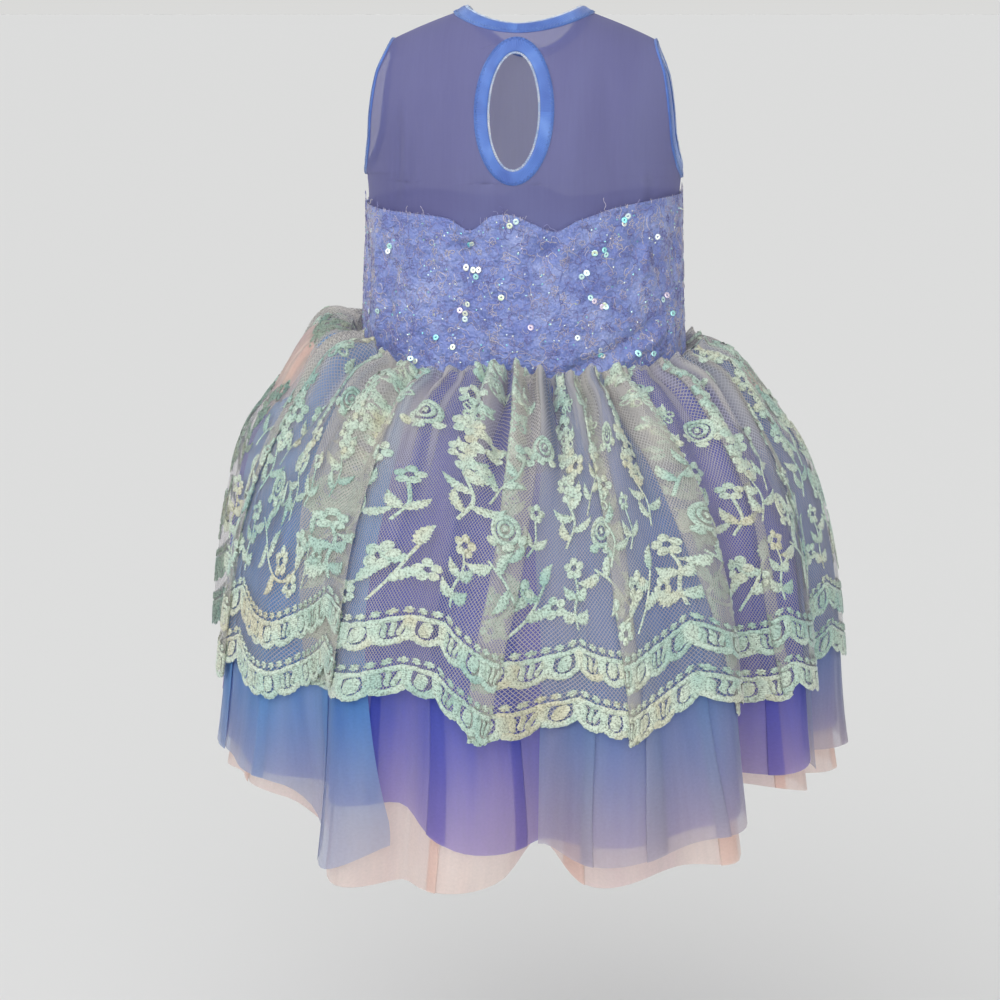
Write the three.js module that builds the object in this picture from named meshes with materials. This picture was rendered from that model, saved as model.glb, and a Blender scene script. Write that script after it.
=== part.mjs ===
// A child's sleeveless dance costume: a sheer stretch-mesh yoke with a bound keyhole, a close sequinned bodice
// and a full gathered skirt of tulle under a scalloped lace overskirt. It hangs hollow, as worn, with no wearer.
// Millimetres, +Z up. The keyhole side faces -Y and the origin is midway between the shoulder points.
import * as THREE from "three";
import { ParametricGeometry } from "three/addons/geometries/ParametricGeometry.js";
import { mergeGeometries, mergeVertices } from "three/addons/utils/BufferGeometryUtils.js";

// ---- driving sizes ----

const seamGap = 0.3;
const wall = { mesh: 1.0, bodice: 2.0, lace: 1.2, tulle: 1.0, binding: 2.2 };
const bindingWidth = 9.5;
const bindingClear = 0.4; // more room where a binding bends away from its panel

// The hollow body of the dress: half its width, and its depth in front and behind, at each height.
const bodySections = [
  { height: -262, side: 119, front: 87, back: 86 },
  { height: -239, side: 117.5, front: 85, back: 84 },
  { height: -186, side: 115, front: 82, back: 81 },
  { height: -126, side: 113, front: 81, back: 79 },
  { height: -106, side: 113.5, front: 80, back: 79 },
  { height: -86, side: 115, front: 78, back: 78 },
  { height: -50, side: 124, front: 70, back: 73 },
  { height: -15, side: 132, front: 59, back: 65 },
  { height: 25, side: 140, front: 54, back: 60 },
];
const yokeFoot = { height: -148, tuck: 2.1, clear: -121 }; // how low and how far in it goes behind the bodice
const shoulder = { neck: 50, tip: 92, drop: 16, rounding: 55 };
const neckline = { front: -12, back: -34 };
const keyhole = { halfWidth: 18, bottom: -102.5, top: -23.5 };
const armhole = { bottom: -114, top: -16, halfDepth: 38, centre: 114 };
const armholeReach = [
  { height: -114, out: 113 },
  { height: -105, out: 110 },
  { height: -89, out: 106.2 },
  { height: -65, out: 103.6 },
  { height: -38, out: 99.5 },
  { height: -16, out: 92 },
];

// Heights of the bodice's upper and lower edges round the body; 0 is the middle of the keyhole side, 90 is +X.
const bodiceEdges = [
  { turn: -90, top: -132, bottom: -236 },
  { turn: -60, top: -133, bottom: -238 },
  { turn: -30, top: -134, bottom: -246 },
  { turn: -22.5, top: -136, bottom: -244 },
  { turn: -15, top: -143, bottom: -241 },
  { turn: -7.5, top: -133, bottom: -238 },
  { turn: 0, top: -132, bottom: -240 },
  { turn: 7.5, top: -138, bottom: -244 },
  { turn: 15, top: -143, bottom: -246 },
  { turn: 22.5, top: -136, bottom: -245 },
  { turn: 37.5, top: -128, bottom: -243 },
  { turn: 60, top: -124, bottom: -243 },
  { turn: 90, top: -124, bottom: -241 },
  { turn: 135, top: -127, bottom: -244 },
  { turn: 165, top: -136, bottom: -242 },
  { turn: 180, top: -129, bottom: -245 },
  { turn: 195, top: -136, bottom: -241 },
  { turn: 225, top: -129, bottom: -244 },
  { turn: 270, top: -132, bottom: -236 },
];

// How far below the horizon the skirt's cloth points, by its distance from the waist seam.
const skirtSlopes = [
  { distance: 0, front: 12, right: -6, back: 12, left: -52 },
  { distance: 24, front: 28, right: 14, back: 26, left: -12 },
  { distance: 46, front: 40, right: 46, back: 40, left: 46 },
  { distance: 100, front: 47, right: 56, back: 48, left: 58 },
  { distance: 150, front: 56, right: 74, back: 60, left: 78 },
  { distance: 210, front: 68, right: 84, back: 72, left: 86 },
  { distance: 280, front: 76, right: 88, back: 79, left: 90 },
  { distance: 380, front: 74, right: 80, back: 76, left: 80 },
];

// The skirt's large folds, shared by every layer: angle, half width and depth at the hem, outward positive.
const skirtFolds = [
  { turn: -76, width: 7, depth: 14 },
  { turn: -64, width: 5, depth: -14 },
  { turn: -53, width: 6, depth: 12 },
  { turn: -41, width: 6, depth: 10 },
  { turn: -29, width: 4.5, depth: -22 },
  { turn: -20, width: 5, depth: 10 },
  { turn: -12, width: 3, depth: -9 },
  { turn: -4, width: 6, depth: 15 },
  { turn: 8, width: 4, depth: -20 },
  { turn: 21, width: 7, depth: 12 },
  { turn: 35, width: 6, depth: 16 },
  { turn: 45, width: 5, depth: -34 },
  { turn: 57, width: 7, depth: 12 },
  { turn: 70, width: 5, depth: -16 },
  { turn: 84, width: 8, depth: 14 },
  { turn: 98, width: 5, depth: -22 },
  { turn: 111, width: 7, depth: 15 },
  { turn: 124, width: 5, depth: -14 },
  { turn: 138, width: 8, depth: 13 },
  { turn: 153, width: 5, depth: -26 },
  { turn: 167, width: 7, depth: 14 },
  { turn: 180, width: 4, depth: -12 },
  { turn: 193, width: 8, depth: 16 },
  { turn: 208, width: 5, depth: -24 },
  { turn: 221, width: 7, depth: 13 },
  { turn: 235, width: 5, depth: -18 },
  { turn: 249, width: 8, depth: 14 },
  { turn: 262, width: 4, depth: -15 },
];
const foldFullAt = 300;
const gathers = { count: 23, depth: 3, from: 14, peak: 45, gone: 170 };

// Where the lace's scalloped border comes to its inner points, round the hem.
const scallopPoints = [-90, -68, -46, -25, -7, 11, 32, 54, 77, 100, 122, 143, 163, 184, 205, 227, 249, 270];
const scallopDepth = 18;

// How long the cloth of each layer is from the waist seam to the hem, round the skirt.
const hems = [
  { turn: -90, lace: 254, sky: 332, periwinkle: 326, blush: 352 },
  { turn: -62, lace: 262, sky: 328, periwinkle: 322, blush: 350 },
  { turn: -45, lace: 256, sky: 325, periwinkle: 320, blush: 338 },
  { turn: -34, lace: 250, sky: 328, periwinkle: 322, blush: 338 },
  { turn: -27, lace: 240, sky: 366, periwinkle: 326, blush: 370 },
  { turn: -14, lace: 238, sky: 350, periwinkle: 322, blush: 376 },
  { turn: -5, lace: 252, sky: 348, periwinkle: 340, blush: 370 },
  { turn: 2, lace: 260, sky: 348, periwinkle: 346, blush: 364 },
  { turn: 7, lace: 260, sky: 346, periwinkle: 344, blush: 344 },
  { turn: 13, lace: 256, sky: 350, periwinkle: 338, blush: 364 },
  { turn: 24, lace: 248, sky: 342, periwinkle: 334, blush: 355 },
  { turn: 38, lace: 246, sky: 336, periwinkle: 328, blush: 357 },
  { turn: 48, lace: 256, sky: 338, periwinkle: 324, blush: 332 },
  { turn: 62, lace: 258, sky: 330, periwinkle: 318, blush: 344 },
  { turn: 90, lace: 256, sky: 340, periwinkle: 326, blush: 360 },
  { turn: 125, lace: 252, sky: 334, periwinkle: 330, blush: 350 },
  { turn: 160, lace: 258, sky: 350, periwinkle: 336, blush: 366 },
  { turn: 200, lace: 254, sky: 338, periwinkle: 328, blush: 352 },
  { turn: 240, lace: 260, sky: 346, periwinkle: 332, blush: 362 },
  { turn: 270, lace: 254, sky: 332, periwinkle: 326, blush: 352 },
];

// The skirt's layers from the outside in. Each lies inside the one before it by this spacing.
const layerOrder = ["lace", "sky", "periwinkle", "blush"];
const layerSpacing = { waist: 1.7, hem: 5 };

// The distances from the waist seam of the rows of points that every layer shares.
const skirtRows = [0, 22, 50, 95, 150, 215, 290];
const wholeRound = [-76, 284];

// The sky-blue layer is cut in panels that leave the periwinkle layer bare between them.
const skyPanels = [
  { name: "left", from: -70, to: -15 },
  { name: "right", from: 8, to: 41 },
  { name: "right_side", from: 62, to: 105 },
  { name: "back_right", from: 123, to: 168 },
  { name: "back_left", from: 186, to: 229 },
];

// ---- reading the tables ----

const radians = THREE.MathUtils.degToRad;
const { lerp, clamp } = THREE.MathUtils;

// Every column of a table at one value of its first column, on a smooth curve through the rows.
function readTable(rows, key, value) {
  const last = rows.length - 1;
  const at = clamp(value, rows[0][key], rows[last][key]);
  let i = 0;
  while (i < last - 1 && rows[i + 1][key] < at) i++;
  const near = [rows[Math.max(i - 1, 0)], rows[i], rows[i + 1], rows[Math.min(i + 2, last)]];
  const f = (at - near[1][key]) / (near[2][key] - near[1][key]);
  const read = {};
  for (const column of Object.keys(rows[0])) {
    const [a, b, c, d] = near.map((row) => row[column]);
    const slopeB = (c - a) / 2;
    const slopeC = (d - b) / 2;
    read[column] =
      b + f * slopeB + f * f * (3 * (c - b) - 2 * slopeB - slopeC) + f ** 3 * (2 * (b - c) + slopeB + slopeC);
  }
  return read;
}

const smooth = (from, to, value) => THREE.MathUtils.smoothstep(value, from, to);
const wrapTurn = (turn) => ((((turn + 90) % 360) + 360) % 360) - 90;
const turnApart = (a, b) => ((((a - b + 180) % 360) + 360) % 360) - 180;

// ---- cloth: an open surface made into a wall ----

// A grid of points u, v in 0..1, as an open surface.
function clothGrid(pointAt, columns, rows) {
  const put = (u, v, target) => target.copy(pointAt(u, v));
  return new ParametricGeometry(put, columns, rows);
}

// Joins open surfaces along the points that they share, and gives them a wall half to each side.
function clothWall(surfaces, thickness) {
  const joined = mergeGeometries(surfaces);
  joined.deleteAttribute("normal");
  joined.deleteAttribute("uv");
  const cloth = mergeVertices(joined, 1e-3);
  cloth.computeVertexNormals();
  const points = cloth.getAttribute("position");
  const normals = cloth.getAttribute("normal");
  const count = points.count;
  const positions = [];
  for (const half of [thickness / 2, -thickness / 2]) {
    for (let i = 0; i < count; i++) {
      const point = new THREE.Vector3().fromBufferAttribute(points, i);
      point.addScaledVector(new THREE.Vector3().fromBufferAttribute(normals, i), half);
      positions.push(...point);
    }
  }
  const faces = [];
  const edges = new Set();
  const source = Array.from(cloth.index.array);
  for (let i = 0; i < source.length; i += 3) {
    const [a, b, c] = source.slice(i, i + 3);
    if (a === b || b === c || c === a) continue;
    faces.push(a, b, c, a + count, c + count, b + count);
    for (const edge of [[a, b], [b, c], [c, a]]) edges.add(edge.join());
  }
  for (const edge of edges) {
    const [a, b] = edge.split(",").map(Number);
    if (edges.has(b + "," + a)) continue;
    faces.push(b, a, a + count, b, a + count, b + count);
  }
  const solid = new THREE.BufferGeometry();
  solid.setAttribute("position", new THREE.Float32BufferAttribute(positions, 3));
  solid.setIndex(faces);
  solid.computeVertexNormals();
  return solid;
}

// ---- body form: yoke and bodice ----

function bodyPoint(turn, height) {
  const section = readTable(bodySections, "height", height);
  const across = section.side * Math.sin(radians(turn));
  const along = Math.cos(radians(turn));
  return new THREE.Vector3(across, -(along > 0 ? section.front : section.back) * along, height);
}

const shoulderLine = (across) =>
  (-shoulder.drop * (Math.abs(across) - shoulder.neck)) / (shoulder.tip - shoulder.neck);

// The body form drawn in towards the shoulder seam, where its front and back meet.
function yokePoint(turn, height) {
  const point = bodyPoint(turn, height);
  const below = clamp(shoulderLine(point.x) - height, 0, shoulder.rounding);
  point.y *= Math.sqrt(1 - ((shoulder.rounding - below) / shoulder.rounding) ** 2);
  return point;
}

// The armhole's edge on the +X side; angle 0 is its front, 90 its top and -90 its bottom.
function armholeEdge(angle) {
  const middle = (armhole.top + armhole.bottom) / 2;
  const height = middle + ((armhole.top - armhole.bottom) / 2) * Math.sin(radians(angle));
  const out = readTable(armholeReach, "height", height).out;
  return new THREE.Vector3(out, -armhole.halfDepth * Math.cos(radians(angle)), height);
}

// The neckline's edge; angle 0 is the middle of the keyhole side and 90 the +X shoulder.
function neckEdge(angle) {
  const low = Math.cos(radians(angle)) > 0 ? neckline.front : neckline.back;
  const height = low * Math.cos(radians(angle)) ** 2;
  const across = shoulder.neck * Math.sin(radians(angle));
  const side = readTable(bodySections, "height", height).side;
  const turn = THREE.MathUtils.radToDeg(Math.asin(across / side));
  return yokePoint(Math.cos(radians(angle)) > 0 ? turn : 180 - turn, height);
}

// A point by its distance across and its height on the keyhole side of the yoke.
function yokeFront(across, height) {
  const side = readTable(bodySections, "height", height).side;
  return yokePoint(THREE.MathUtils.radToDeg(Math.asin(across / side)), height);
}

// The keyhole's edge, moved out by a margin; angle 90 is its top.
function keyholeEdge(angle, margin) {
  const middle = (keyhole.top + keyhole.bottom) / 2;
  const halfHeight = (keyhole.top - keyhole.bottom) / 2 + margin;
  const across = (keyhole.halfWidth + margin) * Math.cos(radians(angle));
  return yokeFront(across, middle + halfHeight * Math.sin(radians(angle)));
}

// One half of a yoke panel, as rungs from its middle edge to its outer edge.
// Its middle edge runs up the centre, round the keyhole if it has one, and along the neckline to the shoulder.
// Its outer edge runs up the side seam and round the armhole to the shoulder. Its foot is behind the bodice.
function yokeHalf(face, hand, rungs, columns) {
  const front = face === "front";
  const middleTurn = front ? 0 : 180;
  const holeFrom = rungs.centre;
  const holeTo = holeFrom + rungs.keyhole;
  const neckFrom = holeTo + rungs.bridge;
  const total = neckFrom + rungs.neck;
  const margin = bindingWidth + seamGap + 0.1;
  const centreTop = front ? keyholeEdge(-90, margin).z : armhole.bottom;
  const bridgeFoot = front ? keyholeEdge(90, margin).z : armhole.bottom;

  function middleEdge(rung) {
    if (rung <= holeFrom) return yokePoint(middleTurn, lerp(yokeFoot.height, centreTop, rung / holeFrom));
    if (rung < holeTo) return keyholeEdge(lerp(-90, 90, (rung - holeFrom) / rungs.keyhole), margin);
    const bridge = (rung - holeTo) / rungs.bridge;
    if (rung < neckFrom) return yokePoint(middleTurn, lerp(bridgeFoot, neckEdge(middleTurn).z, bridge));
    const along = (90 * (rung - neckFrom)) / rungs.neck;
    return neckEdge(front ? along : 180 - along);
  }

  function outerEdge(rung) {
    if (rung < holeFrom) return yokePoint(90, lerp(yokeFoot.height, armhole.bottom, rung / holeFrom));
    const along = (rung - holeFrom) / (total - holeFrom);
    return armholeEdge(lerp(-90, front ? 90 : -270, along));
  }

  function turnOf(point) {
    const side = readTable(bodySections, "height", point.z).side;
    const turn = THREE.MathUtils.radToDeg(Math.asin(clamp(point.x / side, -1, 1)));
    return front ? turn : 180 - turn;
  }

  function pointAt(u, v) {
    const across = hand > 0 === front ? u : 1 - u;
    const inner = middleEdge(v * total);
    const outer = outerEdge(v * total);
    const point = yokePoint(lerp(turnOf(inner), turnOf(outer), across), lerp(inner.z, outer.z, across));
    const slip = outer.y - yokePoint(turnOf(outer), outer.z).y;
    const tucked = 1 - smooth(yokeFoot.clear, armhole.bottom, point.z);
    const tuck = yokeFoot.tuck * tucked;
    point.x *= hand * (1 - tuck / bodySections[0].side);
    point.y = (1 - tuck / bodySections[0].front) * (point.y + slip * across ** 3);
    point.y = front ? Math.min(point.y, -seamGap / 2) : Math.max(point.y, seamGap / 2);
    return point;
  }
  return clothGrid(pointAt, columns, total);
}

function yokePanel(face) {
  const rungs =
    face === "front"
      ? { centre: 3, keyhole: 8, bridge: 1, neck: 4 }
      : { centre: 3, keyhole: 0, bridge: 9, neck: 4 };
  const halves = [-1, 1].map((hand) => yokeHalf(face, hand, rungs, 6));
  return clothWall(halves, wall.mesh);
}

function bodicePanel(fromTurn, toTurn) {
  const margin = THREE.MathUtils.radToDeg(seamGap / 2 / 80);
  const pointAt = (u, v) => {
    const turn = lerp(fromTurn + margin, toTurn - margin, u);
    const edges = readTable(bodiceEdges, "turn", wrapTurn(turn));
    return bodyPoint(turn, lerp(edges.bottom, edges.top, v));
  };
  return clothWall([clothGrid(pointAt, 24, 3)], wall.bodice);
}

// ---- bindings ----

// A closed band that runs on from an edge, into the opening that the edge goes round.
function bindingRing(pointAt, steps) {
  const band = (u, v) => pointAt(360 * u, seamGap + bindingWidth * v);
  return clothWall([clothGrid(band, steps, 1)], wall.binding);
}

// A point in from an edge, towards the middle of its opening.
function towards(edge, middle, inset) {
  return edge.addScaledVector(middle.clone().sub(edge).normalize(), inset);
}

const keyholeBinding = () => bindingRing((angle, inset) => keyholeEdge(angle, bindingWidth + seamGap - inset), 16);

function neckBinding() {
  const middle = new THREE.Vector3(0, 0, 30);
  return bindingRing((angle, inset) => towards(neckEdge(angle), middle, inset + bindingClear), 16);
}

function armholeBinding(hand) {
  const middle = new THREE.Vector3(armhole.centre, 0, (armhole.top + armhole.bottom) / 2);
  const pointAt = (angle, inset) => {
    const point = towards(armholeEdge(hand * angle), middle, inset + bindingClear);
    point.x *= hand;
    return point;
  };
  return bindingRing(pointAt, 26);
}

// ---- skirt ----

// How far the cloth has gone out and down from the waist seam, and where it points, at a distance along it.
function skirtRun(turn, distance) {
  const facing = Math.cos(radians(turn));
  const sideways = Math.sin(radians(turn));
  const steps = 24;
  const step = distance / steps;
  let out = 0;
  let down = 0;
  let slope = 0;
  for (let i = 0; i <= steps; i++) {
    const row = readTable(skirtSlopes, "distance", i * step);
    const middle = (facing > 0 ? row.front : row.back) * facing ** 2;
    slope = radians(middle + (sideways > 0 ? row.right : row.left) * sideways ** 2);
    const share = i === 0 || i === steps ? step / 2 : step;
    out += share * Math.cos(slope);
    down += share * Math.sin(slope);
  }
  return { out, down, slope };
}

// How far the large folds and the waist gathers stand out at a place on the skirt.
function foldDepth(turn, distance) {
  let depth = 0;
  for (const fold of skirtFolds) {
    depth += fold.depth * Math.exp(-((turnApart(turn, fold.turn) / fold.width) ** 2));
  }
  const ripple = Math.cos(radians(gathers.count * turn + 60 * Math.sin(radians(3 * turn))));
  const rising = smooth(gathers.from, gathers.peak, distance);
  const falling = 1 - smooth(gathers.peak, gathers.gone, distance);
  return depth * (distance / foldFullAt) ** 1.5 + gathers.depth * ripple * rising * falling;
}

function skirtPoint(layer, turn, distance) {
  const { out, down, slope } = skirtRun(turn, distance);
  const spacing = lerp(layerSpacing.waist, layerSpacing.hem, distance / foldFullAt);
  const inset = layerOrder.indexOf(layer) * spacing;
  const bottom = readTable(bodiceEdges, "turn", wrapTurn(turn)).bottom;
  const start = bodyPoint(turn, bottom);
  const reach = wall.bodice + out - inset * Math.sin(slope) + foldDepth(turn, distance);
  return new THREE.Vector3(
    start.x + reach * Math.sin(radians(turn)),
    start.y - reach * Math.cos(radians(turn)),
    bottom - down - inset * Math.cos(slope),
  );
}

const hemLength = (layer, turn) => readTable(hems, "turn", wrapTurn(turn))[layer];

// How much further the lace's border reaches between its inner points.
function scallop(turn) {
  const at = wrapTurn(turn);
  const next = scallopPoints.findIndex((point) => point > at);
  const along = (at - scallopPoints[next - 1]) / (scallopPoints[next] - scallopPoints[next - 1]);
  return scallopDepth * Math.sin(Math.PI * along) ** 0.8;
}

// Every layer's columns stand on the crests and valleys of the folds and halfway between them.
function skirtColumns() {
  const turns = skirtFolds.map((fold) => fold.turn);
  turns.push(turns[0] + 360);
  return turns.slice(1).flatMap((turn, i) => [turns[i], (turns[i] + turn) / 2]).concat(turns.at(-1));
}

// A stretch of one layer between two columns; its last row is the hem.
function skirtCloth(layer, fromTurn, toTurn, thickness) {
  const turns = skirtColumns().filter((turn) => turn >= fromTurn && turn <= toTurn);
  const rows = skirtRows.filter((distance) => distance < Math.min(...hems.map((hem) => hem[layer])));
  const pointAt = (u, v) => {
    const turn = turns[Math.round(u * (turns.length - 1))];
    const hem = hemLength(layer, turn) + (layer === "lace" ? scallop(turn) : 0);
    return skirtPoint(layer, turn, rows[Math.round(v * rows.length)] ?? hem);
  };
  return clothWall([clothGrid(pointAt, turns.length - 1, rows.length)], thickness);
}

// ---- the costume ----

const finishes = {
  mesh: { color: 0x6c74b4, roughness: 0.85 },
  binding: { color: 0x4a6fc0, roughness: 0.5 },
  bodice: { color: 0x6f7bc8, roughness: 0.55 },
  lace: { color: 0xb4c4ac, roughness: 0.7 },
  sky: { color: 0x7da3ce, roughness: 0.9 },
  periwinkle: { color: 0x4f57b4, roughness: 0.9 },
  blush: { color: 0xd2b4a8, roughness: 0.9 },
};
const costume = new THREE.Group();

function add(name, geometry, finish) {
  const mesh = new THREE.Mesh(geometry, new THREE.MeshStandardMaterial({ metalness: 0, ...finishes[finish] }));
  mesh.name = name;
  costume.add(mesh);
}

add("yoke_front", yokePanel("front"), "mesh");
add("yoke_back", yokePanel("back"), "mesh");
add("keyhole_binding", keyholeBinding(), "binding");
add("neck_binding", neckBinding(), "binding");
add("armhole_binding_left", armholeBinding(-1), "binding");
add("armhole_binding_right", armholeBinding(1), "binding");
add("bodice_front", bodicePanel(-90, 90), "bodice");
add("bodice_back", bodicePanel(90, 270), "bodice");
add("lace_overskirt", skirtCloth("lace", ...wholeRound, wall.lace), "lace");
for (const { name, from, to } of skyPanels) {
  add("tulle_sky_" + name, skirtCloth("sky", from, to, wall.tulle), "sky");
}
add("tulle_periwinkle", skirtCloth("periwinkle", ...wholeRound, wall.tulle), "periwinkle");
add("tulle_blush", skirtCloth("blush", ...wholeRound, wall.tulle), "blush");

export default costume;
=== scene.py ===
# A child's dance costume as worn: sheer keyhole yoke, sequinned bodice, and a gathered tulle skirt
# under a scalloped lace overskirt. Tables are in millimetres and degrees; turn 0 faces the camera side (-Y)
# and turn 90 faces +X. Everything that reaches Blender is in metres.
import math
import random

import bmesh
import bpy
import numpy as np
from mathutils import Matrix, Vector


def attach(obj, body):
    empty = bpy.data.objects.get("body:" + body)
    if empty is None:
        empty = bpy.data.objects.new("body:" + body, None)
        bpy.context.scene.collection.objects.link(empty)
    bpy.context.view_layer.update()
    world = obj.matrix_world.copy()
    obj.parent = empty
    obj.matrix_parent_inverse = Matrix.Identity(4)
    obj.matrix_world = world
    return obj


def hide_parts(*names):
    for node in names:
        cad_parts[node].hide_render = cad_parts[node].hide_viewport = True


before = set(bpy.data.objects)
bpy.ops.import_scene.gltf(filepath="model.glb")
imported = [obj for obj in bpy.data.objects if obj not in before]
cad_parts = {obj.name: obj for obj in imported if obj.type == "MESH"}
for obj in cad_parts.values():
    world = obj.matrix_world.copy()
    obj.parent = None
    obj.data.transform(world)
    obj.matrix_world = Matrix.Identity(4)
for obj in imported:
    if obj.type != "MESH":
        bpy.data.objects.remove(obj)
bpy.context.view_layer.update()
mm = 0.001
dice = random.Random(8)

# ---------- the cut of the dress, the same form that its frame holds ----------

bodyForm = {
    "height": [-262, -239, -186, -126, -106, -86, -50, -15, 25],
    "side": [119, 117.5, 115, 113, 113.5, 115, 124, 132, 140],
    "front": [87, 85, 82, 81, 80, 78, 70, 59, 54],
    "back": [86, 84, 81, 79, 79, 78, 73, 65, 60],
}
yokeCut = {"foot": -148, "neck": 50, "tip": 92, "drop": 16, "rounding": 55,
           "frontNeck": -12, "backNeck": -34}
keyhole = {"halfWidth": 18, "bottom": -102.5, "top": -23.5}
armhole = {"bottom": -114, "top": -16, "halfDepth": 38, "centre": 114}
armholeReach = {"height": [-114, -105, -89, -65, -38, -16], "out": [113, 110, 106.2, 103.6, 99.5, 92]}
bodiceEdge = {
    "turn": [-90, -60, -30, -22.5, -15, -7.5, 0, 7.5, 15, 22.5, 37.5, 60, 90, 135, 165, 180, 195, 225, 270],
    "top": [-132, -133, -134, -136, -143, -133, -132, -138, -143, -136, -128, -124, -124, -127, -136, -129,
            -136, -129, -132],
    "bottom": [-236, -238, -246, -244, -241, -238, -240, -244, -246, -245, -243, -243, -241, -244, -242,
               -245, -241, -244, -236],
}
# how far below the horizon the skirt points, by distance from the waist
skirtSlope = {
    "distance": [0, 24, 46, 100, 150, 210, 280, 380],
    "front": [12, 28, 40, 47, 56, 68, 76, 74],
    "right": [-6, 14, 46, 56, 74, 84, 88, 80],
    "back": [12, 26, 40, 48, 60, 72, 79, 76],
    "left": [-52, -12, 46, 58, 78, 86, 90, 80],
}
# large folds shared by all layers: turn, half width, depth at the hem
skirtFolds = {
    "turn": [-76, -64, -53, -41, -29, -20, -12, -4, 8, 21, 35, 45, 57, 70, 84, 98, 111, 124, 138, 153, 167,
             180, 193, 208, 221, 235, 249, 262],
    "width": [7, 5, 6, 6, 4.5, 5, 3, 6, 4, 7, 6, 5, 7, 5, 8, 5, 7, 5, 8, 5, 7, 4, 8, 5, 7, 5, 8, 4],
    "depth": [14, -14, 12, 10, -22, 10, -9, 15, -20, 12, 16, -34, 12, -16, 14, -22, 15, -14, 13, -26, 14,
              -12, 16, -24, 13, -18, 14, -15],
}
scallopCusps = [-90, -68, -46, -25, -7, 11, 32, 54, 77, 100, 122, 143, 163, 184, 205, 227, 249, 270]
scallopDepth = 18
hemLengths = {
    "turn": [-90, -62, -45, -34, -27, -14, -5, 2, 7, 13, 24, 38, 48, 62, 90, 125, 160, 200, 240, 270],
    "lace": [254, 262, 256, 250, 240, 238, 252, 260, 260, 256, 248, 246, 256, 258, 256, 252, 258, 254, 260,
             254],
    "sky": [332, 328, 325, 328, 366, 350, 348, 348, 346, 350, 342, 336, 338, 330, 340, 334, 350, 338, 346,
            332],
    "periwinkle": [326, 322, 320, 322, 326, 322, 340, 346, 344, 338, 334, 328, 324, 318, 326, 330, 336, 328,
                   332, 326],
    "blush": [352, 350, 338, 338, 370, 376, 370, 364, 344, 364, 355, 357, 332, 344, 360, 350, 366, 352, 362,
              352],
}


def readTable(table, key, value, column):
    # a smooth curve through the rows
    keys = np.array(table[key], float)
    values = np.array(table[column], float)
    at = np.clip(value, keys[0], keys[-1])
    i = np.searchsorted(keys[1:-1], at)
    a, b, c, d = (values[np.clip(i + step, 0, len(keys) - 1)] for step in (-1, 0, 1, 2))
    f = (at - keys[i]) / (keys[i + 1] - keys[i])
    startSlope = (c - a) / 2
    endSlope = (d - b) / 2
    return (b + f * startSlope + f**2 * (3 * (c - b) - 2 * startSlope - endSlope)
            + f**3 * (2 * (b - c) + startSlope + endSlope))


def smooth(low, high, value):
    f = np.clip((value - low) / (high - low), 0, 1)
    return f * f * (3 - 2 * f)


def wrapTurn(turn):
    return (turn + 90) % 360 - 90


def turnFrom(place, turn):
    # how far round a turn is from a place, to either side
    return (turn - place + 180) % 360 - 180


def joined(*parts):
    return np.stack(np.broadcast_arrays(*parts), -1)


def hill(away):
    return np.exp(-(away**2))


def sinDeg(angle):
    return np.sin(np.radians(angle))


def cosDeg(angle):
    return np.cos(np.radians(angle))


def bodyPoint(turn, height):
    along = cosDeg(turn)
    side, front, back = (readTable(bodyForm, "height", height, column)
                         for column in ("side", "front", "back"))
    depth = np.where(along > 0, front, back)
    return joined(side * sinDeg(turn), -depth * along, height)


def edgeHeights(turn):
    # the bodice's bottom and top edge
    turn = wrapTurn(turn)
    return readTable(bodiceEdge, "turn", turn, "bottom"), readTable(bodiceEdge, "turn", turn, "top")


# ---------- cloth and thread, made as grids ----------


def clothPatch(points, weave):
    # points[column, row] in mm, columns towards rising turn and rows upwards; weave is their UV in metres
    columns, rows = points.shape[:2]
    bm = bmesh.new()
    bmesh.ops.create_grid(bm, x_segments=columns - 1, y_segments=rows - 1, size=1)
    mesh = bpy.data.meshes.new("patch")
    bm.to_mesh(mesh)
    bm.free()
    flat = np.empty(len(mesh.vertices) * 3)
    mesh.vertices.foreach_get("co", flat)
    flat = flat.reshape(-1, 3)
    column = np.rint((flat[:, 0] + 1) / 2 * (columns - 1)).astype(int)
    row = np.rint((flat[:, 1] + 1) / 2 * (rows - 1)).astype(int)
    mesh.vertices.foreach_set("co", (points[column, row] * mm).ravel())
    corners = np.empty(len(mesh.loops), int)
    mesh.loops.foreach_get("vertex_index", corners)
    layer = mesh.uv_layers.new(name="weave")
    layer.uv.foreach_set("vector", weave[column, row][corners].ravel())
    return mesh


def clothPiece(name, *patches, closed=False):
    # one piece from patches of cloth, joined where their points meet
    bm = bmesh.new()
    for points, weave in patches:
        patch = clothPatch(points, weave)
        bm.from_mesh(patch)
        bpy.data.meshes.remove(patch)
    bmesh.ops.remove_doubles(bm, verts=bm.verts, dist=0.02 * mm)
    if closed:
        bmesh.ops.recalc_face_normals(bm, faces=bm.faces)
    return placePiece(name, meshOf(bm, name))


def newObject(name, data):
    thing = bpy.data.objects.new(name, data)
    bpy.context.scene.collection.objects.link(thing)
    return thing


def placePiece(name, mesh):
    mesh.polygons.foreach_set("use_smooth", [True] * len(mesh.polygons))
    mesh.update()
    return newObject(name, mesh)


def clothNormals(points):
    across = np.gradient(points, axis=0)
    up = np.gradient(points, axis=1)
    normal = np.cross(across, up)
    return normal / np.maximum(np.linalg.norm(normal, axis=-1, keepdims=True), 1e-9)


def arcAlong(line):
    # distance along a line of points
    steps = np.linalg.norm(np.diff(line, axis=0), axis=1)
    return np.concatenate([[0], np.cumsum(steps)])


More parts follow.
